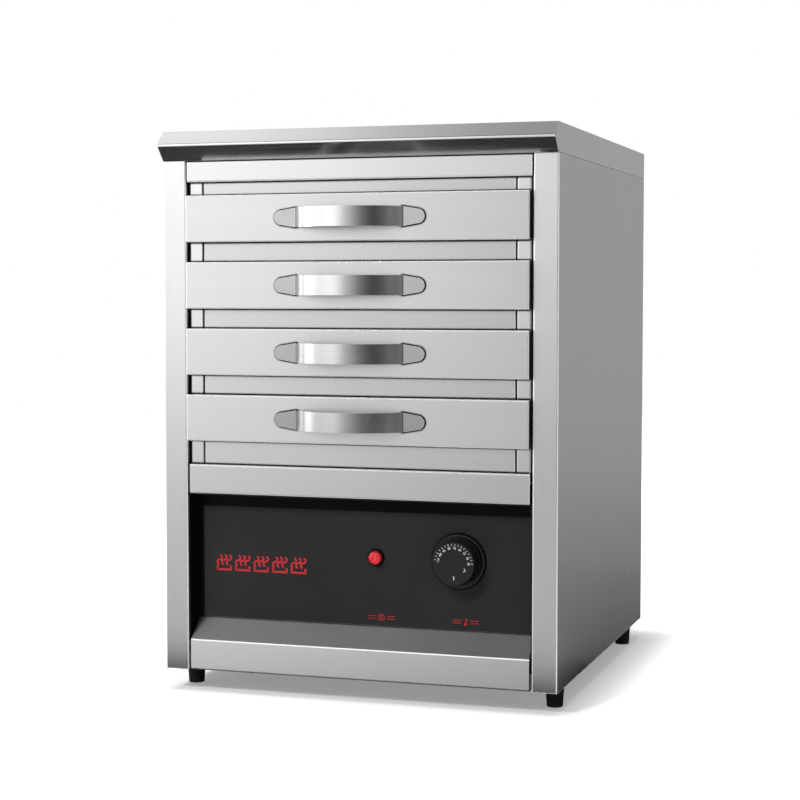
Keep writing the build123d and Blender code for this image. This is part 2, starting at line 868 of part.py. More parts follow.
with BuildPart() as knob_shaft:
    with BuildSketch(front_view(knob_back)):
        add(shaft_section(shaft_radius, shaft_flat))
    extrude(amount=knob_back - knob_face_thickness)
    round_rod(shaft_radius, knob_x, control_z, knob_back, panel_back + shaft_in_thermostat)
knob_shaft.part.label = "knob_shaft"

bezel_front = panel_setback - bezel_height

with BuildPart() as indicator_bezel:
    with BuildSketch(front_view(panel_setback)):
        with Locations((lamp_x, control_z)):
            Circle(bezel_radius)
            Circle(bezel_radius - bezel_rim, mode=Mode.SUBTRACT)
    extrude(amount=bezel_height)
    front_edges = indicator_bezel.edges().group_by(Axis.Y)[0].sort_by(SortBy.RADIUS)
    fillet(front_edges[-1], radius=bezel_rim / 2)
indicator_bezel.part.label = "indicator_bezel"

with BuildPart() as indicator_lens:
    lens_radius = bezel_radius - bezel_rim - contact_gap
    lens_front = bezel_front - lens_height
    round_rod(lens_radius, lamp_x, control_z, lens_front, panel_setback)
    fillet(indicator_lens.edges().group_by(Axis.Y)[0], radius=lens_edge)
indicator_lens.part.label = "indicator_lens"

with BuildPart() as indicator_body:
    barrel_back = panel_setback + lamp_barrel_length
    round_rod(lamp_barrel_radius, lamp_x, control_z, panel_setback, barrel_back)
    with BuildSketch(front_view(panel_back)):
        with Locations((lamp_x, control_z)):
            RegularPolygon(lamp_nut_width / 2, 6, major_radius=False)
    extrude(amount=-lamp_nut_height)
    with BuildSketch(front_view(barrel_back)):
        with Locations((lamp_x, control_z)):
            with GridLocations(2 * lamp_tab[0], 0, 2, 1):
                Rectangle(lamp_tab[1], lamp_tab[0])
    extrude(amount=-lamp_tab[2])
indicator_body.part.label = "indicator_body"

# ---------------------------------------------------------------- terminals and wiring

terminal_top = base_inside_z + terminal_height
terminal_z = terminal_top - terminal_height / 2
terminal_disc = terminal_height / 8

with BuildPart() as terminal_block:
    block_length = terminal_ways * terminal_spacing + terminal_barrier
    with BuildSketch(top_view(base_inside_z)):
        with Locations((terminal_x, terminal_depth)):
            Rectangle(terminal_width, block_length)
    extrude(amount=terminal_height)
    with BuildSketch(top_view(terminal_top)):
        with Locations((terminal_x, terminal_depth)):
            with GridLocations(terminal_width, terminal_spacing, 1, terminal_ways):
                Rectangle(terminal_width, terminal_spacing - terminal_barrier)
    extrude(amount=-terminal_height / 2, mode=Mode.SUBTRACT)
    with BuildSketch(top_view(terminal_z)):
        with Locations((terminal_x, terminal_depth)):
            with GridLocations(terminal_width / 2, terminal_spacing, 2, terminal_ways):
                Circle(terminal_spacing / 4)
    extrude(amount=terminal_disc)
terminal_block.part.label = "terminal_block"

wire_start_x = terminal_x + terminal_width / 4
wire_z = terminal_z + terminal_disc + wire_radius + contact_gap
wire_bends = {}


def wire(name, *points):
    """Insulated wire with arcs as large as its shorter runs allow; notes its radii."""
    corners = [Vector(*point) for point in points]
    radii = []
    for before, corner, after in zip(corners, corners[1:], corners[2:]):
        arriving, leaving = corner - before, after - corner
        turn = radians(arriving.get_angle(leaving))
        radii.append(0.45 * min(arriving.length, leaving.length) / tan(turn / 2))
    wire_bends[name] = radii
    return tube(wire_radius, *points, bends=radii)


def way_depth(number):
    """Depth of a way of the terminal block, counted from the front."""
    return terminal_depth + (number - (terminal_ways + 1) / 2) * terminal_spacing


with BuildPart() as wiring:
    lead_y = thermostat_back + spade_tab[2]
    lamp_y = barrel_back + lamp_tab[2]
    spade_z = control_z + thermostat_size / 4
    low_z = control_z - thermostat_size / 4
    add(
        wire(
            "terminal to left element end",
            place(wire_start_x, way_depth(5), wire_z),
            place(wire_start_x + 34, way_depth(5) + 6, wire_z + 6),
            place(wire_start_x + 52, way_depth(5) - 12, wire_z + 40),
            place(-element_x + 42, element_front + 30, end_z - 42),
            place(-element_x + 8, element_front + 6, end_z - 38),
            place(-element_x, element_front, end_z - wire_radius / 2),
        )
    )
    add(
        wire(
            "terminal to thermostat",
            place(wire_start_x, way_depth(3), wire_z),
            place(wire_start_x + 50, way_depth(3) + 8, wire_z + 4),
            place(wire_start_x + 104, way_depth(3) + 20, wire_z + 14),
            place(wire_start_x + 152, way_depth(3) + 22, wire_z + 46),
            place(knob_x - 24, lead_y + 36, low_z - 6),
            place(knob_x - 2 * spade_tab[0], lead_y + 22, low_z),
            place(knob_x - 2 * spade_tab[0], lead_y, low_z),
        )
    )
    add(
        wire(
            "thermostat to right element end",
            place(knob_x + 2 * spade_tab[0], lead_y, low_z),
            place(knob_x + 2 * spade_tab[0], lead_y + 30, low_z),
            place(element_x + 30, lead_y + 38, low_z - 1),
            place(element_x + 45, element_front + 10, low_z - 11),
            place(element_x + 20, element_front, low_z - 29),
            place(element_x, element_front, low_z - 10),
            place(element_x, element_front, end_z - wire_radius / 2),
        )
    )
    for number, tab in ((1, -1), (2, 1)):
        add(
            wire(
                f"terminal to lamp {number}",
                place(wire_start_x, way_depth(number), wire_z),
                place(wire_start_x + 36, way_depth(number) + 4 * tab, wire_z + 3),
                place(wire_start_x + 72, way_depth(number) + 8 * tab, wire_z + 26),
                place(lamp_x - 24 + 8 * tab, lamp_y + 38, control_z - 26),
                place(lamp_x + lamp_tab[0] * tab, lamp_y + 26, control_z),
                place(lamp_x + lamp_tab[0] * tab, lamp_y, control_z),
            )
        )
wiring.part.label = "wiring"
for name, radii in wire_bends.items():
    print("bend radii,", name, [round(radius, 1) for radius in radii])

# ---------------------------------------------------------------- gland and drain

gland_centre = (gland_x, gland_z)

with BuildPart() as cable_gland:
    with BuildSketch(front_view(rear_sheet_back)):
        with Locations(gland_centre):
            RegularPolygon(gland_hex / 2, 6, major_radius=False)
    extrude(amount=-gland_hex_height)
    dome_start = rear_sheet_back + gland_hex_height
    dome_end = dome_start + gland_dome_height
    round_rod(gland_dome_radius, gland_x, gland_z, dome_start, dome_end)
    dome_edges = cable_gland.edges().group_by(Axis.Y)[-1]
    fillet(dome_edges, radius=gland_dome_radius / 3)
    thread_start = rear_sheet_back - gland_thread_length
    round_rod(gland_thread_radius, gland_x, gland_z, thread_start, rear_sheet_back)
    round_rod(gland_bore_radius, gland_x, gland_z, thread_start, dome_end, Mode.SUBTRACT)
cable_gland.part.label = "cable_gland"

with BuildPart() as cable_gland_nut:
    with BuildSketch(front_view(rear_sheet_front)):
        with Locations(gland_centre):
            RegularPolygon(gland_hex / 2, 6, major_radius=False)
            Circle(gland_thread_radius + contact_gap, mode=Mode.SUBTRACT)
    extrude(amount=gland_nut_height)
cable_gland_nut.part.label = "cable_gland_nut"

valve_front = body_depth + valve_start
block_front = valve_front + valve_socket_length
block_back = block_front + valve_block_length
spout_end = block_back + spout_length
stem_depth = (block_front + block_back) / 2
socket_end = valve_front + valve_socket_grip

with BuildPart() as drain_pipe:
    pipe_start = tank_back - sheet - drain_inside
    round_rod(drain_radius, drain_x, drain_z, pipe_start, socket_end)
    round_rod(drain_bore, drain_x, drain_z, pipe_start, socket_end, Mode.SUBTRACT)
drain_pipe.part.label = "drain_pipe"

with BuildPart() as drain_valve_body:
    round_rod(valve_socket_radius, drain_x, drain_z, valve_front, block_front)
    round_rod(valve_block_radius, drain_x, drain_z, block_front, block_back)
    round_rod(spout_radius, drain_x, drain_z, block_back, spout_end)
    collar_base = drain_z + valve_block_radius - collar_root
    collar_top = drain_z + valve_block_radius + stem_collar_height
    with BuildSketch(top_view(collar_base)):
        with Locations((drain_x, stem_depth)):
            Circle(stem_collar_radius)
    extrude(amount=collar_top - collar_base)
    round_rod(drain_radius + contact_gap, drain_x, drain_z, valve_front, socket_end, Mode.SUBTRACT)
    round_rod(drain_bore, drain_x, drain_z, socket_end, spout_end, Mode.SUBTRACT)
    with Locations(place(drain_x, stem_depth, drain_z)):
        Sphere(ball_radius + slide_gap, mode=Mode.SUBTRACT)
    with BuildSketch(top_view(drain_z)):
        with Locations((drain_x, stem_depth)):
            Circle(stem_radius + shaft_clearance)
    extrude(amount=collar_top - drain_z, mode=Mode.SUBTRACT)
drain_valve_body.part.label = "drain_valve_body"

lever_z = collar_top + lever_lift

with BuildPart() as drain_ball:
    with Locations(place(drain_x, stem_depth, drain_z)):
        Sphere(ball_radius)
    with BuildSketch(top_view(drain_z)):
        with Locations((drain_x, stem_depth)):
            Circle(stem_radius)
    extrude(amount=lever_z - drain_z)
    across = Plane(origin=place(drain_x, stem_depth, drain_z), x_dir=(0, 1, 0), z_dir=(1, 0, 0))
    with BuildSketch(across):
        Circle(drain_bore)
    extrude(amount=ball_radius, both=True, mode=Mode.SUBTRACT)
drain_ball.part.label = "drain_ball"

with BuildPart() as drain_lever:
    with BuildSketch(top_view(lever_z)):
        with BuildLine():
            lever_start = drain_x - lever_width / 2
            lever_end = drain_x + lever_length
            Polyline(
                (lever_start, stem_depth - lever_width / 2),
                (lever_end, stem_depth - lever_tip_width / 2),
                (lever_end, stem_depth + lever_tip_width / 2),
                (lever_start, stem_depth + lever_width / 2),
                close=True,
            )
        make_face()
    extrude(amount=lever_thickness)
    fillet(drain_lever.edges().filter_by(Axis.Z), radius=lever_corner)
drain_lever.part.label = "drain_lever"

# ---------------------------------------------------------------- feet and fasteners

with BuildPart() as feet:
    for x, depth in foot_places:
        with BuildSketch(top_view(0)):
            with Locations((x, depth)):
                Circle(foot_base_radius)
        with BuildSketch(top_view(base_plate_z)):
            with Locations((x, depth)):
                Circle(foot_top_radius)
        loft()
    fillet(feet.edges().group_by(Axis.Z)[0], radius=foot_edge)
    with BuildSketch(top_view(0)):
        with Locations(*foot_places):
            Circle(foot_head_radius + hole_clearance)
    extrude(amount=foot_bore_depth, mode=Mode.SUBTRACT)
    with BuildSketch(top_view(0)):
        with Locations(*foot_places):
            Circle(foot_screw_radius + hole_clearance)
    extrude(amount=base_plate_z, mode=Mode.SUBTRACT)
feet.part.label = "feet"

with BuildPart() as foot_screws:
    with BuildSketch(top_view(foot_bore_depth)):
        with Locations(*foot_places):
            Circle(foot_head_radius)
    extrude(amount=-foot_head_height)
    with BuildSketch(top_view(foot_bore_depth)):
        with Locations(*foot_places):
            Circle(foot_screw_radius)
    extrude(amount=foot_screw_length)
foot_screws.part.label = "foot_screws"

with BuildPart() as casing_screws:
    screw_places = rear_screws["left"] + rear_screws["right"] + service_screws
    for radius, reach in ((screw_head_radius, -screw_head_height), (screw_radius, screw_length)):
        with BuildSketch(front_view(body_depth)):
            with Locations(*screw_places):
                Circle(radius)
        extrude(amount=reach)
    head_edges = casing_screws.edges().group_by(Axis.Y)[-1]
    fillet(head_edges, radius=screw_head_height / 3)
    with BuildSketch(front_view(body_depth + screw_head_height)):
        with Locations(*screw_places):
            Rectangle(recess_span, recess_width)
            Rectangle(recess_width, recess_span)
    extrude(amount=recess_depth, mode=Mode.SUBTRACT)
casing_screws.part.label = "casing_screws"

# ---------------------------------------------------------------- drawers

drawer_pieces = []
for number in drawer_numbers:
    face_z = drawer_bottom(number)
    face_middle = face_z + front_height / 2

    with BuildPart() as drawer_front:
        with BuildSketch(front_view(front_rear)):
            with Locations((0, face_middle)):
                Rectangle(2 * front_half, front_height)
        extrude(amount=front_rear + front_proud)
        fillet(drawer_front.faces().sort_by(Axis.Y)[0].edges(), radius=front_bend)
        with BuildSketch(front_view(front_rear)):
            with Locations((0, face_middle)):
                Rectangle(2 * (front_half - sheet), front_height - 2 * sheet)
        extrude(amount=front_rear + front_proud - sheet, mode=Mode.SUBTRACT)
    drawer_front.part.label = f"drawer_{number}_front"

    with BuildPart() as back_plate:
        with BuildSketch(front_view(front_rear)):
            with Locations((0, face_middle)):
                plate_width = 2 * (front_half - sheet - contact_gap)
                Rectangle(plate_width, front_height - 2 * (sheet + contact_gap))
        extrude(amount=sheet)
    back_plate.part.label = f"drawer_{number}_back_plate"

    with BuildPart() as tray:
        tray_z = face_z + tray_rise
        tray_middle = (0, front_rear + tray_length / 2)
        rim_z = rim_underside(number)
        with BuildSketch(top_view(tray_z)):
            with Locations(tray_middle):
                RectangleRounded(tray_width, tray_length, tray_corner)
        extrude(amount=tray_height)
        rim_depth = (front_rear, front_rear + tray_length)
        block((-rim_half, rim_half), rim_depth, (rim_z, rim_z + sheet))
        with BuildSketch(top_view(tray_z + sheet)):
            with Locations(tray_middle):
                pan_width = tray_width - 2 * sheet
                RectangleRounded(pan_width, tray_length - 2 * sheet, tray_corner - sheet)
        extrude(amount=tray_height, mode=Mode.SUBTRACT)
    tray.part.label = f"drawer_{number}_tray"

    with BuildPart() as handle:
        bend_x = handle_span / 2
        tip_x = bend_x + handle_tab
        arch_y = handle_thickness - front_proud - handle_reach
        middle = place(handle_shift, 0, face_middle)
        strap_plane = Plane(middle, x_dir=(1, 0, 0), z_dir=(0, 0, 1))
        with BuildSketch(strap_plane.offset(-handle_height / 2)):
            with BuildLine() as strap:
                Line((-tip_x, -front_proud), (-bend_x, -front_proud))
                ThreePointArc((-bend_x, -front_proud), (0, arch_y), (bend_x, -front_proud))
                Line((bend_x, -front_proud), (tip_x, -front_proud))
                bends = strap.vertices().sort_by(Axis.X)[1:-1]
                fillet(bends, radius=handle_bend + handle_thickness)
                offset(amount=handle_thickness, side=Side.RIGHT)
            make_face()
        extrude(amount=handle_height)
        with BuildSketch(Plane(middle, x_dir=(1, 0, 0), z_dir=(0, -1, 0))):
            side_z = handle_height / 2
            end_z = handle_tab_end / 2
            end_x = tip_x - end_z
            with BuildLine():
                Polyline((-end_x, end_z), (-bend_x, side_z), (bend_x, side_z), (end_x, end_z))
                ThreePointArc((end_x, end_z), (tip_x, 0), (end_x, -end_z))
                Polyline((end_x, -end_z), (bend_x, -side_z), (-bend_x, -side_z), (-end_x, -end_z))
                ThreePointArc((-end_x, -end_z), (-tip_x, 0), (-end_x, end_z))
            make_face()
        extrude(amount=front_proud + handle_reach, mode=Mode.INTERSECT)
    handle.part.label = f"drawer_{number}_handle"
    drawer_pieces += [drawer_front, back_plate, tray, handle]

# ---------------------------------------------------------------- files

casing = [top_cap, *side_panels, rear_panel, service_cover, base_pan]
front = [top_fascia, lower_fascia, *stiles, cross_rails, plinth, control_surround, control_panel]
chamber = [chamber_front_frame, *chamber_walls, chamber_rear_wall, chamber_ceiling]
chamber += [drawer_runners, insulation_boards]
heating = [water_tank, heating_element, element_fittings]
controls = [thermostat_body, thermostat_probe, dial_plate, temperature_knob, knob_shaft]
controls += [indicator_bezel, indicator_lens, indicator_body, terminal_block, wiring]
outlets = [cable_gland, cable_gland_nut, drain_pipe, drain_valve_body, drain_ball, drain_lever]
supports = [feet, foot_screws, casing_screws]

os.makedirs("parts", exist_ok=True)
for piece in casing + front + chamber + heating + controls + outlets + supports + drawer_pieces:
    export_step(piece.part, f"parts/{piece.part.label}.step")
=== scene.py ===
from math import cos, pi, radians, sin

import bmesh
import bpy
from mathutils import Matrix, Vector


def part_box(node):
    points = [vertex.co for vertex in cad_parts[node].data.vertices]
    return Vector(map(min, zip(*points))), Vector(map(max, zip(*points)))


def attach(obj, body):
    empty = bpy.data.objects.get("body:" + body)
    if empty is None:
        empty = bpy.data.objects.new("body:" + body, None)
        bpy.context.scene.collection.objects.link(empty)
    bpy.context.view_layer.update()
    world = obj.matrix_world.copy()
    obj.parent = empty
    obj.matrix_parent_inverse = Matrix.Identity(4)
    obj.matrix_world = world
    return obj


bl_info = {
    "name": "Rice Noodle Roll Steamer",
    "version": (1, 0, 0),
    "blender": (4, 5, 0),
    "location": "View3D > Sidebar > Steamer",
    "description": "Finishes, printed marks and studio of a table-top drawer steamer",
    "category": "Object",
}

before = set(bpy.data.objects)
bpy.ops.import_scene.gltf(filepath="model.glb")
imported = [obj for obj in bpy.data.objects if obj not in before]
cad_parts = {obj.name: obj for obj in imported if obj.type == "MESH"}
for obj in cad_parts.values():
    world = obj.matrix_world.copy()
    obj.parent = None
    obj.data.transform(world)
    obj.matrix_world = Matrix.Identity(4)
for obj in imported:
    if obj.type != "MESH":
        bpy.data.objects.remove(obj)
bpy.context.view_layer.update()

# Metres. +X is the user's right, -Y faces the user, +Z is up.
MM = 0.001

DRAWERS = (1, 2, 3, 4)

# Flat end of a handle's strap, which is welded to the drawer, and the length of its fade
TAB_LENGTH = 31 * MM
TAB_FADE = 4 * MM

# How each run of brushing stretches the noise, and the axis that it runs along
GRAIN = {
    "upright": ((1.0, 1.0, 0.006), "Z"),
    "level": ((0.006, 1.0, 1.0), "X"),
    "deep": ((1.0, 0.006, 1.0), "Y"),
}


# ------------------------------------------------------------------ settings


class SteamerFinish(bpy.types.PropertyGroup):
    """Colours and surface values of the steamer"""

    steel: bpy.props.FloatVectorProperty(
        name="Steel", description="Stainless steel of the casing and drawers",
        subtype="COLOR", default=(0.76, 0.76, 0.765), min=0.0, max=1.0,
    )
    chamber_steel: bpy.props.FloatVectorProperty(
        name="Chamber steel", description="Steam-dulled steel of the trays, tank and chamber",
        subtype="COLOR", default=(0.66, 0.665, 0.67), min=0.0, max=1.0,
    )
    panel_black: bpy.props.FloatVectorProperty(
        name="Panel", description="Satin black paint of the control panel",
        subtype="COLOR", default=(0.024, 0.024, 0.025), min=0.0, max=1.0,
    )
    print_red: bpy.props.FloatVectorProperty(
        name="Panel print", description="Red of the symbols printed on the panel",
        subtype="COLOR", default=(0.48, 0.018, 0.022), min=0.0, max=1.0,
    )
    print_white: bpy.props.FloatVectorProperty(
        name="Dial print", description="White of the scale printed on the knob",
        subtype="COLOR", default=(0.68, 0.68, 0.68), min=0.0, max=1.0,
    )
    lens_red: bpy.props.FloatVectorProperty(
        name="Lamp lens", description="Red of the pilot lamp's lens",
        subtype="COLOR", default=(0.7, 0.006, 0.015), min=0.0, max=1.0,
    )
    roughness: bpy.props.FloatProperty(
        name="Steel roughness", description="Mean roughness of the brushed steel",
        subtype="FACTOR", default=0.3, min=0.05, max=1.0,
    )
    grain_width: bpy.props.FloatProperty(
        name="Grain width", description="Width of the brushing's lines",
        unit="LENGTH", default=0.9 * MM, min=0.1 * MM, max=10 * MM,
    )
    # Width of the brighter band along the brushed steel's edges and folds: rubbed edges, partly
    # painted highlight
    edge_width: bpy.props.FloatProperty(
        name="Edge wear and highlight", description="Width of the bright rub along folded edges",
        unit="LENGTH", default=1.5 * MM, min=0.1 * MM, max=5 * MM,
    )
    # Reach of the painted shade in seams and under lips
    seam_reach: bpy.props.FloatProperty(
        name="Seam shade", description="Reach of the dark line in seams and under lips",
        unit="LENGTH", default=3 * MM, min=0.5 * MM, max=20 * MM,
    )


class SteamerScale(bpy.types.PropertyGroup):
    """Sizes of the printed dial scale and of the panel's symbols"""

    number_height: bpy.props.FloatProperty(
        name="Number height", description="Height of the dial's numbers",
        unit="LENGTH", default=2.4 * MM, min=1 * MM, max=6 * MM,
    )
    number_radius: bpy.props.FloatProperty(
        name="Number radius", description="Knob's centre to the middle of the numbers",
        unit="LENGTH", default=15.1 * MM, min=5 * MM, max=20 * MM,
    )
    tick_length: bpy.props.FloatProperty(
        name="Tick length", description="Length of the scale's lines",
        unit="LENGTH", default=1.8 * MM, min=0.5 * MM, max=5 * MM,
    )
    tick_radius: bpy.props.FloatProperty(
        name="Tick radius", description="Knob's centre to the outer end of the lines",
        unit="LENGTH", default=19.3 * MM, min=5 * MM, max=20 * MM,
    )
    print_height: bpy.props.FloatProperty(
        name="Print thickness", description="How far printed marks stand off their surface",
        unit="LENGTH", default=0.08 * MM, min=0.02 * MM, max=1 * MM,
    )
    symbol_height: bpy.props.FloatProperty(
        name="Symbol height", description="Height of the row of steam symbols",
        unit="LENGTH", default=16.5 * MM, min=5 * MM, max=30 * MM,
    )
    label_height: bpy.props.FloatProperty(
        name="Label height", description="Height of the symbols under the lamp and the knob",
        unit="LENGTH", default=7.0 * MM, min=2 * MM, max=15 * MM,
    )


class SteamerStudio(bpy.types.PropertyGroup):
    """Floor, light and camera"""

    floor_radius: bpy.props.FloatProperty(
        name="Floor radius", description="Radius of the round studio floor",
        unit="LENGTH", default=4.0, min=1.0, max=20.0,
    )
    tent_radius: bpy.props.FloatProperty(
        name="Tent radius", description="Radius of the light tent that the steel mirrors",
        unit="LENGTH", default=5.0, min=3.0, max=30.0,
    )
    key_watts: bpy.props.FloatProperty(
        name="Key lamp", description="Power of the small lamp at the upper left",
        unit="POWER", default=46.0, min=0.0, max=1000.0,
    )
    top_watts: bpy.props.FloatProperty(
        name="Top softbox", description="Power of the large softbox overhead",
        unit="POWER", default=40.0, min=0.0, max=1000.0,
    )
    fill: bpy.props.FloatProperty(
        name="Fill", description="Strength of the even light from all round",
        default=0.38, min=0.0, max=2.0,
    )
    floor_lift: bpy.props.FloatProperty(
        name="Floor lift", description="Light added to the floor where it is seen",
        default=0.28, min=0.0, max=1.0,
    )
    lens: bpy.props.FloatProperty(
        name="Focal length", description="Camera's focal length in millimetres on a 36 mm sensor",
        default=83.44, min=10.0, max=300.0,
    )


# ------------------------------------------------------------------ material tools


class Recipe:
    """A material in the making: adds nodes, wires them and keeps the main shader."""

    def __init__(self, name):
        self.material = bpy.data.materials.new(name)
        self.material.use_nodes = True
        self.tree = self.material.node_tree
        self.tree.nodes.clear()
        self.shader = self.add("ShaderNodeBsdfPrincipled")
        output = self.add("ShaderNodeOutputMaterial")
        self.tree.links.new(self.shader.outputs["BSDF"], output.inputs["Surface"])
        coordinates = self.add("ShaderNodeTexCoord")
        self.place = coordinates.outputs["Object"]
        self.facing = coordinates.outputs["Normal"]

    def add(self, kind, inputs=(), **settings):
        """Adds a node with its settings, then sets or links its inputs."""
        node = self.tree.nodes.new(kind)
        for key, value in settings.items():
            setattr(node, key, value)
        for socket, value in dict(inputs).items():
            if isinstance(value, bpy.types.NodeSocket):
                self.tree.links.new(value, node.inputs[socket])
            else:
                node.inputs[socket].default_value = value
        return node

    def set(self, **values):
        """Sets or links the shader's sockets, named in lower case with underscores."""
        for key, value in values.items():
            socket = self.shader.inputs[SOCKETS[key]]
            if isinstance(value, bpy.types.NodeSocket):
                self.tree.links.new(value, socket)
            else:
                socket.default_value = value

    def noise(self, scale, detail=3.0, roughness=0.55, distortion=0.0):
        """Noise on the object's own coordinates, stretched by a scale for each axis."""
        mapping = self.add("ShaderNodeMapping", {"Vector": self.place, "Scale": scale})
        inputs = {
            "Vector": mapping.outputs["Vector"],
            "Scale": 1.0,
            "Detail": detail,
            "Roughness": roughness,
            "Distortion": distortion,
        }
        return self.add("ShaderNodeTexNoise", inputs).outputs["Fac"]

    def span(self, value, low, high, to_low=0.0, to_high=1.0, smooth=False):
        """Maps a value between two limits to another range, clamped."""
        inputs = {
            "Value": value,
            "From Min": low,
            "From Max": high,
            "To Min": to_low,
            "To Max": to_high,
        }
        kind = "SMOOTHSTEP" if smooth else "LINEAR"
        return self.add("ShaderNodeMapRange", inputs, interpolation_type=kind).outputs["Result"]

    def math(self, operation, first, second=0.0):
        """One step of arithmetic."""
        inputs = {0: first, 1: second}
        return self.add("ShaderNodeMath", inputs, operation=operation).outputs["Value"]

    def vector(self, operation, first, second=(0, 0, 0)):
        """One step of arithmetic on vectors, which gives a value for a length or a product."""
        inputs = {0: first, 1: second}
        node = self.add("ShaderNodeVectorMath", inputs, operation=operation)
        return node.outputs["Value" if operation in ("DOT_PRODUCT", "LENGTH") else "Vector"]

    def cells(self, pitch, randomness):
        """Cell pattern on the object's own coordinates."""
        scale = (1 / pitch, 1 / pitch, 1 / pitch)
        mapping = self.add("ShaderNodeMapping", {"Vector": self.place, "Scale": scale})
        inputs = {"Vector": mapping.outputs["Vector"], "Scale": 1.0, "Randomness": randomness}
        return self.add("ShaderNodeTexVoronoi", inputs, feature="F1")

    def mix(self, factor, first, second):
        """Blends two colours."""
        inputs = {"Factor": factor, 6: opaque(first), 7: opaque(second)}
        return self.add("ShaderNodeMix", inputs, data_type="RGBA").outputs[2]

    def blend(self, factor, first, second):
        """Blends two values."""
        inputs = {"Factor": factor, 2: first, 3: second}
        return self.add("ShaderNodeMix", inputs).outputs[0]

    def ramp(self, value, stops):
        """Level that follows (value, level) stops, lowest value first."""
        low, high = stops[0][0], stops[-1][0]
        peak = max(level for stop, level in stops)
        ramp = self.add("ShaderNodeValToRGB", {"Fac": self.span(value, low, high)})
        elements = ramp.color_ramp.elements
        for stop, level in stops[1:-1]:
            elements.new((stop - low) / (high - low)).color = (*[level / peak] * 3, 1.0)
        elements[0].color = (*[stops[0][1] / peak] * 3, 1.0)
        elements[-1].color = (*[stops[-1][1] / peak] * 3, 1.0)
        ramp.color_ramp.interpolation = "CARDINAL"
        return self.math("MULTIPLY", ramp.outputs["Color"], peak)

    def bump(self, height, strength, distance):
        """Fine relief from a height."""
        inputs = {"Strength": strength, "Distance": distance, "Height": height}
        return self.add("ShaderNodeBump", inputs).outputs["Normal"]

    def edges(self, width):
        """1 along sharp outer and inner edges, 0 on flat metal."""
        rounded = self.add("ShaderNodeBevel", {"Radius": width}, samples=4).outputs["Normal"]
        flat = self.add("ShaderNodeNewGeometry").outputs["Normal"]
        return self.span(self.vector("DOT_PRODUCT", rounded, flat), 0.995, 0.85, smooth=True)

    def bends(self):
        """1 on the rounded folds between a sheet's square faces, 0 on the faces."""
        across = self.vector("ABSOLUTE", self.facing)
        x, y, z = (self.part_of(across, axis) for axis in "XYZ")
        most = self.math("MAXIMUM", self.math("MAXIMUM", x, y), z)
        return self.span(most, 0.97, 0.9)

    def crevices(self, reach):
        """Mask for painted shade: 1 deep in seams and narrow gaps, 0 on open metal."""
        inputs = {"Distance": reach}
        open_share = self.add("ShaderNodeAmbientOcclusion", inputs, samples=8).outputs["AO"]
        return self.span(open_share, 0.91, 0.76, smooth=True)

    def part_of(self, vector, axis):
        """One component of a vector."""
        return self.add("ShaderNodeSeparateXYZ", {"Vector": vector}).outputs[axis]


SOCKETS = {
    "colour": "Base Color",
    "metallic": "Metallic",
    "roughness": "Roughness",
    "normal": "Normal",
    "tangent": "Tangent",
    "anisotropic": "Anisotropic",
    "specular": "Specular IOR Level",
    "coat": "Coat Weight",
    "coat_roughness": "Coat Roughness",
    "glow": "Emission Color",
    "glow_strength": "Emission Strength",
    "sheen": "Sheen Weight",
}


def opaque(colour):
    """A colour with alpha, or the socket as it is."""
    if isinstance(colour, bpy.types.NodeSocket):
        return colour
    return (*colour[:3], 1.0)


def shade(colour, factor):
    """A colour made darker or lighter."""
    return tuple(min(channel * factor, 1.0) for channel in colour[:3])


def finish():
    """The add-on's finish settings."""
    return bpy.context.scene.steamer_finish


# ------------------------------------------------------------------ metals


def brushed_steel(name, tone, grain, roughness=0.0, spread=0.6, contrast=1.0, folded=False):
    """Brushed sheet: fine lines along the grain, slight clouding, rubbed edges and folds with a
    painted highlight, painted shade in seams.
    """
    values = finish()
    rough = roughness or values.roughness
    recipe = Recipe(name)
    shrink, along = GRAIN[grain]
    pitch = 1 / values.grain_width
    lines = recipe.noise([pitch * part for part in shrink], detail=2.0, roughness=0.7)
    hair = recipe.noise([3 * pitch * part for part in shrink], detail=1.0)
    bands = recipe.noise([45 * part for part in shrink], detail=4.0)
    clouds = recipe.noise((6.0, 6.0, 6.0), detail=5.0, distortion=0.4)
    # Edges, and folds on folded sheets: partly rubbed, partly given a painted highlight
    wear_and_highlight = recipe.edges(values.edge_width)
    if folded:
        wear_and_highlight = recipe.math("MAXIMUM", wear_and_highlight, recipe.bends())

    fine = recipe.math("MULTIPLY", lines, 0.6)
    level = recipe.span(recipe.math("ADD", fine, recipe.math("MULTIPLY", bands, 0.4)), 0.32, 0.68)
    metal = recipe.mix(level, shade(tone, 1 - 0.035 * contrast), shade(tone, 1 + 0.03 * contrast))
    clouded = recipe.mix(recipe.span(clouds, 0.45, 0.75, 0.0, 0.2), metal, shade(tone, 0.92))
    # Painted highlight, partly rubbed wear: edges and folds 1.3 times lighter than the sheet
    rubbed = recipe.mix(wear_and_highlight, clouded, shade(tone, 1.3))
    # Painted shade: seams and the metal under lips turn almost black
    seam_shaded = recipe.mix(recipe.crevices(values.seam_reach), rubbed, shade(tone, 0.03))

    uneven = recipe.span(lines, 0.3, 0.7, rough - 0.03, rough + 0.03)
    smudged = recipe.math("ADD", uneven, recipe.span(clouds, 0.5, 0.8, 0.0, 0.05))
    polished = recipe.math("SUBTRACT", smudged, recipe.math("MULTIPLY", wear_and_highlight, 0.08))
    relief = recipe.math("ADD", lines, recipe.math("MULTIPLY", hair, 0.5))
    across = {"X": float(along != "X"), "Y": 0.0, "Z": float(along == "X")}
    recipe.set(
        colour=seam_shaded,
        metallic=recipe.span(wear_and_highlight, 0.0, 1.0, 1.0, 0.3),
        roughness=polished,
        anisotropic=spread,
        tangent=recipe.add("ShaderNodeCombineXYZ", across).outputs["Vector"],
        normal=recipe.bump(relief, 0.06, 0.04 * MM),
    )
    return recipe


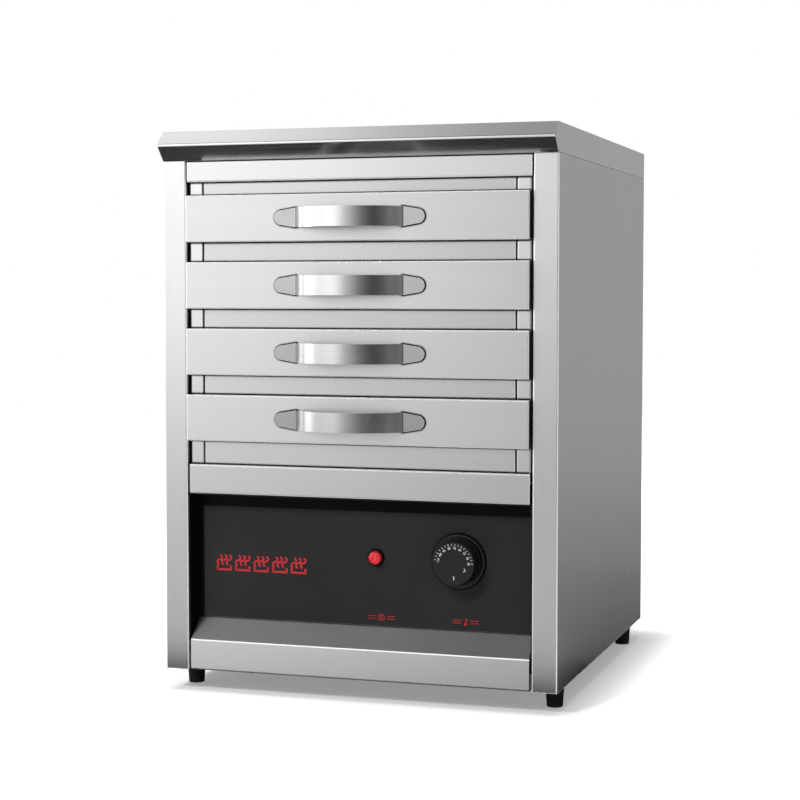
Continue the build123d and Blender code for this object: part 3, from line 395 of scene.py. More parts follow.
def polished_steel():
    """Bright strap of the handles, darker on its ends, which are pressed flat and welded."""
    tone = shade(finish().steel, 0.82)
    low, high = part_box("drawer_1_handle")
    middle, reach = (low[0] + high[0]) / 2, (high[0] - low[0]) / 2
    recipe = Recipe("polished_handle_steel")
    shift = recipe.math("SUBTRACT", recipe.part_of(recipe.place, "X"), middle)
    off_middle = recipe.math("ABSOLUTE", shift)
    tab = reach - TAB_LENGTH
    welded = recipe.span(off_middle, tab, tab + TAB_FADE)
    lines = recipe.noise((40, 40, 2600), detail=2.0)
    marks = recipe.noise((55, 55, 55), detail=4.0, distortion=0.6)
    wear_and_highlight = recipe.edges(0.6 * MM)
    colour = recipe.mix(recipe.span(lines, 0.3, 0.7), shade(tone, 0.97), shade(tone, 1.06))
    # Flat ends darker than the arch
    colour = recipe.mix(welded, colour, shade(tone, 0.72))
    colour = recipe.mix(wear_and_highlight, colour, shade(tone, 1.2))
    # Painted shade round the tabs' tips and under the strap's edges
    colour = recipe.mix(recipe.crevices(2 * MM), colour, shade(tone, 0.05))
    base = recipe.span(lines, 0.3, 0.7, 0.13, 0.18)
    rough = recipe.math("ADD", base, recipe.span(marks, 0.5, 0.75, 0.0, 0.06))
    recipe.set(
        colour=colour, metallic=1.0, roughness=rough, normal=recipe.bump(lines, 0.06, 0.03 * MM)
    )
    return recipe.material


def chamber_steel(name, grain="level"):
    """Mill-finish steel that steam has dulled: water marks and a bluish film."""
    values = finish()
    recipe = brushed_steel(name, values.chamber_steel, grain, roughness=0.36, spread=0.4)
    base = recipe.shader.inputs["Base Color"].links[0].from_socket
    marks = recipe.noise((38, 38, 38), detail=6.0, roughness=0.65, distortion=1.2)
    rings = recipe.span(marks, 0.56, 0.66, 0.0, 0.35, smooth=True)
    recipe.set(colour=recipe.mix(rings, base, (0.5, 0.515, 0.53)))
    return recipe.material


def galvanised_steel():
    """Zinc-coated base: overlapping crystal spangles."""
    recipe = Recipe("galvanised_base")
    cells = recipe.cells(11.1111 * MM, 1.0)
    spangle = recipe.part_of(cells.outputs["Color"], "X")
    film = recipe.noise((20, 20, 20), detail=5.0)
    colour = recipe.mix(spangle, (0.46, 0.47, 0.48), (0.62, 0.63, 0.64))
    colour = recipe.mix(recipe.span(film, 0.5, 0.8, 0.0, 0.4), colour, (0.5, 0.5, 0.49))
    recipe.set(
        colour=colour,
        metallic=0.9,
        roughness=recipe.span(spangle, 0.0, 1.0, 0.34, 0.52),
        normal=recipe.bump(cells.outputs["Distance"], 0.1, 0.05 * MM),
    )
    return recipe.material


def turned_metal(name, tone, roughness, tarnish):
    """Machined or drawn metal with fine rings, tarnish in patches and rubbed edges."""
    recipe = Recipe(name)
    rings = recipe.noise((900, 900, 900), detail=2.0)
    patches = recipe.noise((70, 70, 70), detail=5.0, distortion=0.8)
    wear_and_highlight = recipe.edges(0.5 * MM)
    colour = recipe.mix(recipe.span(patches, 0.42, 0.72, 0.0, 0.7), tone, tarnish)
    colour = recipe.mix(recipe.span(rings, 0.3, 0.7, 0.0, 0.2), colour, shade(tone, 0.8))
    colour = recipe.mix(wear_and_highlight, colour, shade(tone, 1.2))
    rough = recipe.span(patches, 0.35, 0.75, roughness - 0.05, roughness + 0.12)
    recipe.set(
        colour=colour,
        metallic=1.0,
        roughness=rough,
        normal=recipe.bump(rings, 0.08, 0.05 * MM),
    )
    return recipe.material


def heat_tinted_steel():
    """Element tube: straw and blue heat colours under pale scale."""
    recipe = Recipe("heat_tinted_element")
    bands = recipe.noise((9, 9, 30), detail=3.0, distortion=1.0)
    scale = recipe.noise((260, 260, 260), detail=5.0, roughness=0.7)
    colour = recipe.mix(recipe.span(bands, 0.35, 0.55), (0.4, 0.36, 0.3), (0.3, 0.31, 0.35))
    colour = recipe.mix(recipe.span(scale, 0.52, 0.7, 0.0, 0.75), colour, (0.6, 0.59, 0.55))
    recipe.set(
        colour=colour,
        metallic=0.75,
        roughness=recipe.span(scale, 0.4, 0.7, 0.35, 0.7),
        normal=recipe.bump(scale, 0.3, 0.1 * MM),
    )
    return recipe.material


# ------------------------------------------------------------------ paints, plastics, others


def satin_black_paint(name, tone, shadow_edges=None):
    """Satin black paint: fine orange peel, dust, rubbed edges and painted shade in crevices, with
    or without a painted shadow at the left and the top.
    """
    recipe = Recipe(name)
    peel = recipe.noise((520, 520, 520), detail=2.0)
    dust = recipe.noise((1500, 1500, 1500), detail=1.0)
    haze = recipe.noise((9, 9, 9), detail=4.0)
    wear_and_highlight = recipe.edges(0.5 * MM)
    colour = recipe.mix(recipe.span(haze, 0.35, 0.7), shade(tone, 0.92), shade(tone, 1.12))
    colour = recipe.mix(recipe.span(dust, 0.74, 0.8, 0.0, 0.3), colour, (0.14, 0.14, 0.14))
    colour = recipe.mix(recipe.math("MULTIPLY", wear_and_highlight, 0.6), colour, (0.12, 0.12, 0.12))
    # Painted shade in crevices and round the dial plate
    colour = recipe.mix(recipe.crevices(3 * MM), colour, (0.001, 0.001, 0.001))
    # Painted shadow: a darker band along the panel's top and left, where the recess's edges cast
    # shade
    if shadow_edges:
        left, top = shadow_edges
        high = recipe.span(recipe.part_of(recipe.place, "Z"), top - 0.5 * MM, top + 0.5 * MM)
        side = recipe.span(recipe.part_of(recipe.place, "X"), left + 0.5 * MM, left - 0.5 * MM)
        colour = recipe.mix(recipe.math("MAXIMUM", high, side), colour, shade(tone, 0.12))
    recipe.set(
        colour=colour,
        roughness=recipe.span(haze, 0.3, 0.7, 0.36, 0.46),
        specular=0.06,
        normal=recipe.bump(peel, 0.12, 0.05 * MM),
    )
    return recipe.material


def moulded_plastic(name, tone, roughness, grain=700, specular=0.5, light=None):
    """Moulded plastic: fine spark-eroded grain, flow shading and paler rubbed edges."""
    recipe = Recipe(name)
    pores = recipe.noise((grain, grain, grain), detail=2.0)
    flow = recipe.noise((30, 30, 30), detail=3.0, distortion=0.5)
    wear_and_highlight = recipe.edges(0.4 * MM)
    rubbed = light or tuple(min(channel * 1.3 + 0.03, 1.0) for channel in tone)
    colour = recipe.mix(recipe.span(flow, 0.35, 0.7), shade(tone, 0.9), shade(tone, 1.12))
    colour = recipe.mix(recipe.math("MULTIPLY", wear_and_highlight, 0.55), colour, rubbed)
    # Painted shade in crevices, such as the knob's side by the plate
    colour = recipe.mix(recipe.crevices(3 * MM), colour, shade(tone, 0.05))
    recipe.set(
        colour=colour,
        roughness=recipe.span(pores, 0.3, 0.7, roughness - 0.05, roughness + 0.06),
        specular=specular,
        normal=recipe.bump(pores, 0.1, 0.04 * MM),
    )
    return recipe.material


def dark_plate_plastic():
    """Dial plate and lamp bezel: smooth black moulding."""
    return moulded_plastic("dial_plate_plastic", (0.012, 0.012, 0.013), 0.3, specular=0.4)


def lamp_lens_plastic():
    """Red lens: moulded with small facets, lighter where they catch the lamp behind."""
    tone = finish().lens_red
    recipe = Recipe("lamp_lens_plastic")
    facets = recipe.cells(1.6129 * MM, 0.35)
    glint = recipe.part_of(facets.outputs["Color"], "X")
    deep = recipe.noise((160, 160, 160), detail=3.0)
    colour = recipe.mix(recipe.span(deep, 0.35, 0.65), shade(tone, 0.6), tone)
    colour = recipe.mix(recipe.span(glint, 0.4, 1.0, 0.0, 0.5), colour, (0.9, 0.1, 0.1))
    recipe.set(
        colour=colour,
        roughness=recipe.span(glint, 0.0, 1.0, 0.12, 0.28),
        specular=0.5,
        coat=0.3,
        coat_roughness=0.08,
        glow=opaque(tone),
        glow_strength=0.08,
        normal=recipe.bump(facets.outputs["Distance"], 0.5, 0.3 * MM),
    )
    return recipe.material


def foot_rubber():
    """Black rubber feet: matt skin with dust and scuffs near the floor."""
    recipe = Recipe("foot_rubber")
    skin = recipe.noise((600, 600, 600), detail=4.0)
    dust = recipe.noise((120, 120, 120), detail=5.0, distortion=0.5)
    height = recipe.part_of(recipe.place, "Z")
    low = recipe.span(height, 0.006, 0.0)
    scuffed = recipe.math("MULTIPLY", low, recipe.span(dust, 0.4, 0.65))
    tone = recipe.mix(recipe.span(dust, 0.4, 0.7), (0.008, 0.008, 0.008), (0.018, 0.018, 0.018))
    recipe.set(
        colour=recipe.mix(recipe.math("MULTIPLY", scuffed, 0.4), tone, (0.12, 0.115, 0.11)),
        roughness=recipe.span(skin, 0.3, 0.7, 0.62, 0.8),
        specular=0.3,
        normal=recipe.bump(skin, 0.25, 0.1 * MM),
    )
    return recipe.material


def mineral_wool():
    """Pressed wool board: tangled yellow-brown fibres."""
    recipe = Recipe("mineral_wool")
    fibres = recipe.noise((420, 90, 420), detail=6.0, roughness=0.75, distortion=2.0)
    tufts = recipe.noise((60, 60, 60), detail=4.0)
    colour = recipe.mix(recipe.span(fibres, 0.35, 0.65), (0.42, 0.33, 0.16), (0.74, 0.64, 0.4))
    colour = recipe.mix(recipe.span(tufts, 0.45, 0.7, 0.0, 0.5), colour, (0.6, 0.5, 0.28))
    recipe.set(
        colour=colour, roughness=0.95, specular=0.1, normal=recipe.bump(fibres, 0.8, 0.6 * MM)
    )
    return recipe.material


def glass_fibre_sleeve():
    """Braided wire insulation: crossing threads, slightly soiled."""
    recipe = Recipe("glass_fibre_sleeve")
    threads = recipe.noise((1400, 1400, 1400), detail=2.0)
    soil = recipe.noise((40, 40, 40), detail=4.0)
    colour = recipe.mix(recipe.span(threads, 0.35, 0.65), (0.56, 0.53, 0.47), (0.78, 0.76, 0.7))
    colour = recipe.mix(recipe.span(soil, 0.5, 0.8, 0.0, 0.45), colour, (0.5, 0.44, 0.36))
    recipe.set(
        colour=colour, roughness=0.8, sheen=0.15, normal=recipe.bump(threads, 0.5, 0.15 * MM)
    )
    return recipe.material


def printed_ink(name, tone):
    """Screen-printed ink: slightly uneven cover with pinholes."""
    recipe = Recipe(name)
    cover = recipe.noise((900, 900, 900), detail=3.0)
    colour = recipe.mix(recipe.span(cover, 0.25, 0.5), shade(tone, 0.78), tone)
    recipe.set(
        colour=colour,
        roughness=recipe.span(cover, 0.3, 0.7, 0.42, 0.55),
        specular=0.3,
        normal=recipe.bump(cover, 0.1, 0.02 * MM),
    )
    return recipe.material


def dipped_red():
    """Red dip-coated lever: thick soft coating with a slight ripple."""
    recipe = Recipe("dipped_red_coating")
    ripple = recipe.noise((140, 140, 140), detail=2.0)
    grime = recipe.noise((60, 60, 60), detail=5.0)
    soiled = recipe.span(grime, 0.5, 0.75, 0.0, 0.6)
    colour = recipe.mix(soiled, (0.55, 0.03, 0.03), (0.3, 0.03, 0.03))
    recipe.set(
        colour=colour,
        roughness=recipe.span(grime, 0.3, 0.7, 0.32, 0.48),
        coat=0.25,
        normal=recipe.bump(ripple, 0.25, 0.2 * MM),
    )
    return recipe.material


# ------------------------------------------------------------------ mesh tools


def coat(material, *nodes):
    """Gives CAD nodes a material."""
    for node in nodes:
        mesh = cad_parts[node].data
        mesh.materials.clear()
        mesh.materials.append(material)


def drawer_nodes(part):
    """The same piece of each drawer."""
    return [f"drawer_{number}_{part}" for number in DRAWERS]


def add_piece(name, shape, material, body):
    """Makes a bmesh a piece that rides on a body and takes its finish from a slot."""
    bmesh.ops.remove_doubles(shape, verts=shape.verts, dist=0.001 * MM)
    bmesh.ops.recalc_face_normals(shape, faces=shape.faces)
    mesh = bpy.data.meshes.new(name)
    shape.to_mesh(mesh)
    shape.free()
    mesh.materials.append(material)
    piece = bpy.data.objects.new(name, mesh)
    bpy.context.collection.objects.link(piece)
    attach(piece, body)


def raise_print(shape, height):
    """Gives flat marks, drawn in X and Z, their thickness towards the front."""
    faces = bmesh.ops.extrude_face_region(shape, geom=shape.faces[:])
    raised = [item for item in faces["geom"] if isinstance(item, bmesh.types.BMVert)]
    bmesh.ops.translate(shape, verts=raised, vec=(0, -height, 0))


def arc_stroke(shape, centre, radius, width, start, sweep, steps=8):
    """Adds a flat curved stroke, with angles counted from +X towards +Z."""
    ends = []
    for reach in (radius - width / 2, radius + width / 2):
        offset = Vector((cos(start) * reach, 0, sin(start) * reach))
        ends.append(shape.verts.new(Vector(centre) + offset))
    edge = shape.edges.new(ends)
    bmesh.ops.spin(
        shape, geom=[*ends, edge], cent=centre, axis=(0, -1, 0), angle=sweep, steps=steps,
        use_merge=abs(sweep) >= 2 * pi, use_duplicate=False,
    )


def bar_stroke(shape, centre, length, width, turn=0.0):
    """Adds a flat straight stroke, turned from +X towards +Z."""
    spin = Matrix.Rotation(-turn, 4, "Y")
    lie = Matrix.Rotation(pi / 2, 4, "X")
    size = Matrix.Diagonal((length, 1, width, 1))
    matrix = Matrix.Translation(centre) @ spin @ size @ lie
    bmesh.ops.create_grid(shape, x_segments=1, y_segments=1, size=0.5, matrix=matrix)


# ------------------------------------------------------------------ operators: finishes


class STEAMER_OT_casing(bpy.types.Operator):
    """Finish the casing's sheets, its base and its louvred cover"""

    bl_idname = "steamer.casing"
    bl_label = "Casing"

    def execute(self, context):
        steel = finish().steel
        cap = brushed_steel("brushed_cap_steel", steel, "level", roughness=0.15, spread=0.3)
        coat(cap.material, "top_cap")
        side = brushed_steel("brushed_side_steel", steel, "upright", folded=True)
        coat(side.material, "side_panel_left", "side_panel_right")
        rear = brushed_steel("brushed_rear_steel", shade(steel, 0.96), "upright", contrast=1.2)
        coat(rear.material, "rear_panel")
        cover = brushed_steel("brushed_cover_steel", shade(steel, 0.96), "level", contrast=1.2)
        coat(cover.material, "service_cover")
        coat(galvanised_steel(), "base_pan")
        return {"FINISHED"}


class STEAMER_OT_front_frame(bpy.types.Operator):
    """Finish the fascias, stiles, rails and plinth round the drawers"""

    bl_idname = "steamer.front_frame"
    bl_label = "Front frame"

    bend_height = 52.3 * MM        # between the plinth's face and its sloping shelf

    def execute(self, context):
        steel = finish().steel
        level = brushed_steel("brushed_fascia_steel", steel, "level", folded=True)
        coat(level.material, "top_fascia")
        # Rails and lower fascia 0.86 times the casing steel: painted shade on the set-back sheets
        inner = brushed_steel("brushed_rail_steel", shade(steel, 0.86), "level", folded=True)
        coat(inner.material, "lower_fascia", "cross_rails")
        # Plinth 1.28 times the casing steel: painted light
        tone = shade(steel, 1.28)
        low = brushed_steel("brushed_plinth_steel", tone, "level", roughness=0.4, spread=0.85)
        self.darken_shelf(low, tone)
        coat(low.material, "plinth")
        upright = brushed_steel("brushed_stile_steel", steel, "upright")
        coat(upright.material, "stile_left", "stile_right")
        return {"FINISHED"}

    def darken_shelf(self, recipe, tone):
        """Painted shade on the shelf behind the plinth's bend, and a painted highlight along the
        bend.
        """
        base = recipe.shader.inputs["Base Color"].links[0].from_socket
        height = recipe.part_of(recipe.place, "Z")
        shelf = recipe.span(height, self.bend_height, self.bend_height + 1 * MM)
        # Painted shade: the shelf goes halfway to a fifth of the plinth's tone
        base = recipe.mix(recipe.math("MULTIPLY", shelf, 0.5), base, shade(tone, 0.2))
        off_line = recipe.math("ABSOLUTE", recipe.math("SUBTRACT", height, self.bend_height))
        # Painted highlight: a near-white, less metallic line along the bend
        line = recipe.span(off_line, 0.75 * MM, 0.35 * MM)
        recipe.set(
            colour=recipe.mix(line, base, (0.98, 0.98, 0.98)),
            metallic=recipe.span(line, 0.0, 1.0, 1.0, 0.1),
        )


class STEAMER_OT_drawers(bpy.types.Operator):
    """Finish the drawers' faces, back plates, trays and handles"""

    bl_idname = "steamer.drawers"
    bl_label = "Drawers"

    def execute(self, context):
        # Drawer faces 0.93 times the casing steel: painted shade
        tone = shade(finish().steel, 0.93)
        face = brushed_steel("brushed_drawer_steel", tone, "level", folded=True)
        coat(face.material, *drawer_nodes("front"))
        tray = chamber_steel("tray_steel", "deep")
        coat(tray, *drawer_nodes("tray"), *drawer_nodes("back_plate"))
        coat(polished_steel(), *drawer_nodes("handle"))
        return {"FINISHED"}


class STEAMER_OT_chamber(bpy.types.Operator):
    """Finish the steam chamber, its runners and its insulation"""

    bl_idname = "steamer.chamber"
    bl_label = "Steam chamber"

    def execute(self, context):
        walls = ("left_wall", "right_wall", "rear_wall", "ceiling", "front_frame")
        coat(chamber_steel("chamber_wall_steel"), *(f"chamber_{wall}" for wall in walls))
        coat(chamber_steel("runner_steel", "deep"), "drawer_runners")
        coat(mineral_wool(), "insulation_boards")
        return {"FINISHED"}


class STEAMER_OT_heating(bpy.types.Operator):
    """Finish the water tank, the heating element and the thermostat's bulb"""

    bl_idname = "steamer.heating"
    bl_label = "Tank and heating"

    def execute(self, context):
        coat(chamber_steel("tank_steel", "deep"), "water_tank")
        coat(heat_tinted_steel(), "heating_element")
        brass = turned_metal("fitting_brass", (0.72, 0.55, 0.28), 0.28, (0.46, 0.34, 0.18))
        coat(brass, "element_fittings")
        copper = turned_metal("capillary_copper", (0.76, 0.42, 0.28), 0.3, (0.42, 0.22, 0.15))
        coat(copper, "thermostat_probe")
        return {"FINISHED"}


class STEAMER_OT_controls(bpy.types.Operator):
    """Finish the panel, the knob, the dial plate, the lamp and the wiring"""

    bl_idname = "steamer.controls"
    bl_label = "Controls"

    border_left = 6.4 * MM         # painted shadow on the panel, at its left and its top
    border_top = 14.2 * MM

    def execute(self, context):
        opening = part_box("lower_fascia")[0]
        # Where the panel's painted shadow ends
        shadow_edges = (opening[0] + self.border_left, opening[2] - self.border_top)
        tone = finish().panel_black
        coat(satin_black_paint("satin_panel_black", tone, shadow_edges), "control_panel")
        # Surround paint a fifth of the panel's: painted shade on the recess's cheeks
        coat(satin_black_paint("satin_surround_black", shade(tone, 0.2)), "control_surround")
        knob = moulded_plastic("knob_plastic", (0.013, 0.013, 0.014), 0.42, specular=0.22)
        coat(knob, "temperature_knob")
        coat(dark_plate_plastic(), "dial_plate", "indicator_bezel")
        coat(lamp_lens_plastic(), "indicator_lens")
        tone, light = (0.7, 0.69, 0.64), (0.85, 0.84, 0.8)
        white = moulded_plastic("terminal_plastic", tone, 0.45, light=light)
        coat(white, "indicator_body", "terminal_block")
        black = moulded_plastic("thermostat_plastic", (0.03, 0.03, 0.032), 0.4)
        coat(black, "thermostat_body")
        shaft = turned_metal("shaft_steel", (0.66, 0.66, 0.67), 0.26, (0.5, 0.5, 0.5))
        coat(shaft, "knob_shaft")
        coat(glass_fibre_sleeve(), "wiring")
        return {"FINISHED"}


class STEAMER_OT_outlets(bpy.types.Operator):
    """Finish the drain and the cable gland at the rear"""

    bl_idname = "steamer.outlets"
    bl_label = "Drain and cable gland"

    def execute(self, context):
        pipe = turned_metal("drain_pipe_steel", (0.64, 0.645, 0.65), 0.3, (0.5, 0.5, 0.5))
        coat(pipe, "drain_pipe")
        brass = turned_metal("valve_plated_brass", (0.7, 0.66, 0.56), 0.26, (0.52, 0.46, 0.34))
        coat(brass, "drain_valve_body")
        chrome = turned_metal("ball_chrome", (0.8, 0.8, 0.81), 0.12, (0.7, 0.7, 0.7))
        coat(chrome, "drain_ball")
        coat(dipped_red(), "drain_lever")
        gland = moulded_plastic("gland_plastic", (0.022, 0.022, 0.023), 0.45)
        coat(gland, "cable_gland", "cable_gland_nut")
        return {"FINISHED"}


class STEAMER_OT_supports(bpy.types.Operator):
    """Finish the feet and the screws"""

    bl_idname = "steamer.supports"
    bl_label = "Feet and screws"

    def execute(self, context):
        coat(foot_rubber(), "feet")
        zinc = turned_metal("zinc_screw", (0.66, 0.66, 0.68), 0.3, (0.46, 0.46, 0.44))
        coat(zinc, "foot_screws", "casing_screws")
        return {"FINISHED"}


# ------------------------------------------------------------------ operators: printed marks


class STEAMER_OT_dial_scale(bpy.types.Operator):
    """Print the temperature scale, the turning arrow and the stop mark on the knob"""

    bl_idname = "steamer.dial_scale"
    bl_label = "Dial scale"

    tick_count = 17
    first_angle = radians(-78.5)   # clockwise from the top
    last_angle = radians(87.5)
    first_number = 110
    number_step = -10
    number_width = 0.82            # of the font's own width
    number_size = 1.38             # font size for a number of height 1
    number_weight = 0.05 * MM
    tick_width = 0.42 * MM
    arrow_angle = radians(117)
    arrow_radius = 13.4 * MM
    arrow_stroke = (2.6 * MM, 0.6 * MM)
    arrow_turns = (radians(-58), radians(28))
    mark_angle = radians(178)
    mark_radius = 13.6 * MM
    mark_stroke = (3.6 * MM, 0.85 * MM)

    def execute(self, context):
        sizes = context.scene.steamer_scale
        low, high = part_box("temperature_knob")
        self.centre = Vector(((low[0] + high[0]) / 2, low[1], (low[2] + high[2]) / 2))
        white = printed_ink("dial_print_white", finish().print_white)
        shape = bmesh.new()
        for index in range(self.tick_count):
            share = index / (self.tick_count - 1)
            angle = self.first_angle + share * (self.last_angle - self.first_angle)
            middle = self.at(angle, sizes.tick_radius - sizes.tick_length / 2)
            bar_stroke(shape, middle, sizes.tick_length, self.tick_width, pi / 2 - angle)
            if index % 2 == 0:
                number = self.first_number + self.number_step * index // 2
                self.add_number(shape, str(number), angle, sizes)
        self.add_arrow(shape)
        mark = self.at(self.mark_angle, self.mark_radius)
        bar_stroke(shape, mark, *self.mark_stroke, pi / 2 - self.mark_angle)
        raise_print(shape, sizes.print_height)
        add_piece("dial_scale_print", shape, white, "knob")
        return {"FINISHED"}

    def at(self, angle, radius):
        """Point on the knob's face, at an angle clockwise from the top."""
        return self.centre + Vector((sin(angle) * radius, 0, cos(angle) * radius))

    def add_number(self, shape, text, angle, sizes):
        """Adds a number whose top faces outwards."""
        curve = bpy.data.curves.new("dial_number", "FONT")
        curve.body = text
        curve.size = sizes.number_height * self.number_size
        curve.align_x = "CENTER"
        curve.align_y = "CENTER"
        curve.offset = self.number_weight
        curve.resolution_u = 3
        letters = bpy.data.objects.new("dial_number", curve)
        mesh = bpy.data.meshes.new_from_object(letters)
        stand = Matrix.Rotation(pi / 2, 4, "X")
        squeeze = Matrix.Diagonal((self.number_width, 1, 1, 1))
        turn = Matrix.Rotation(angle, 4, "Y")
        place = Matrix.Translation(self.at(angle, sizes.number_radius))
        mesh.transform(place @ turn @ stand @ squeeze)
        shape.from_mesh(mesh)
        bpy.data.objects.remove(letters)
        bpy.data.curves.remove(curve)
        bpy.data.meshes.remove(mesh)

    def add_arrow(self, shape):
        """Adds the small arrow that points along the way the knob turns."""
        tip = self.at(self.arrow_angle, self.arrow_radius)
        for turn in self.arrow_turns:
            direction = Vector((cos(turn), 0, sin(turn)))
            bar_stroke(shape, tip - direction * 1.1 * MM, *self.arrow_stroke, turn)


class STEAMER_OT_panel_marks(bpy.types.Operator):
    """Print plain steam, lamp and thermometer symbols on the control panel"""

    bl_idname = "steamer.panel_marks"
    bl_label = "Panel symbols"

    steam_left = -155.0 * MM       # the row of steam symbols
    steam_right = -56.0 * MM
    steam_bottom = 120.0 * MM
    steam_count = 5
    label_middle = 81.5 * MM       # labels under the lamp and the knob
    lamp_label_x = 20.5 * MM
    knob_label_x = 105.5 * MM
    lamp_stroke = 0.6 * MM
    thermometer_stroke = 0.75 * MM
    side_bar_length = 8.5 * MM
    side_bar_offset = 6.5 * MM
    side_bar_rise = 1.25 * MM

    def execute(self, context):
        sizes = context.scene.steamer_scale
        self.panel_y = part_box("control_panel")[0][1]
        red = printed_ink("panel_print_red", finish().print_red)
        marks = {
            "steam_symbols_print": self.draw_steam_row,
            "lamp_symbol_print": self.draw_lamp_label,
            "thermometer_symbol_print": self.draw_thermometer_label,
        }
        for name, draw in marks.items():
            shape = bmesh.new()
            draw(shape, sizes)
            raise_print(shape, sizes.print_height)
            add_piece(name, shape, red, "casing")
        return {"FINISHED"}

    def draw_steam_row(self, shape, sizes):
        """A row of steaming drawers: a shallow tray under three curls of steam."""
        pitch = (self.steam_right - self.steam_left) / self.steam_count
        height = sizes.symbol_height
        stroke = height * 0.13
        for index in range(self.steam_count):
            x = self.steam_left + (index + 0.5) * pitch
            self.draw_steam(shape, x, pitch * 0.84, height, stroke)

    def draw_steam(self, shape, x, width, height, stroke):
        """One tray with its steam."""
        base = self.steam_bottom + stroke / 2
        bar_stroke(shape, (x, self.panel_y, base), width, stroke)
        for side in (-1, 1):
            foot = (x + side * (width - stroke) / 2, self.panel_y, base + height * 0.11)
            bar_stroke(shape, foot, height * 0.3, stroke, pi / 2)
        curl = height * 0.15
        for shift in (-1, 0, 1):
            rise = self.steam_bottom + height * 0.65
            middle = Vector((x + shift * width * 0.3, self.panel_y, rise))
            for way in (-1, 1):
                centre = middle + Vector((0, 0, way * curl))
                start = -way * pi / 2
                arc_stroke(shape, centre, curl, stroke * 0.9, start, pi * 0.92)

    def draw_lamp_label(self, shape, sizes):
        """A circle with a cross, between two short bars."""
        centre = Vector((self.lamp_label_x, self.panel_y, self.label_middle))
        radius = sizes.label_height * 0.45
        stroke = self.lamp_stroke
        arc_stroke(shape, centre, radius, stroke, 0.0, 2 * pi, steps=32)
        for turn in (pi / 4, -pi / 4):
            bar_stroke(shape, centre, 2 * radius, stroke, turn)
        self.draw_side_bars(shape, centre, radius, stroke)

    def draw_thermometer_label(self, shape, sizes):
        """A thermometer between two short bars."""
        centre = Vector((self.knob_label_x, self.panel_y, self.label_middle))
        height = sizes.label_height
        stroke = self.thermometer_stroke
        bulb = centre - Vector((0, 0, height * 0.3))
        arc_stroke(shape, bulb, height * 0.1, height * 0.2, 0.0, 2 * pi, steps=24)
        bar_stroke(shape, centre + Vector((0, 0, height * 0.1)), height * 0.75, stroke, pi / 2)
        for step in range(3):
            tick = centre + Vector((height * 0.24, 0, height * (0.42 - 0.2 * step)))
            bar_stroke(shape, tick, height * 0.2, stroke * 0.7)
        self.draw_side_bars(shape, centre, height * 0.3, stroke)

    def draw_side_bars(self, shape, centre, inner, stroke):
        """Two pairs of short bars, left and right of a symbol."""
        for side in (-1, 1):
            for rise in (-1, 1):
                x, z = side * (inner + self.side_bar_offset), rise * self.side_bar_rise
                bar_stroke(shape, centre + Vector((x, 0, z)), self.side_bar_length, stroke)


# ------------------------------------------------------------------ operator: studio


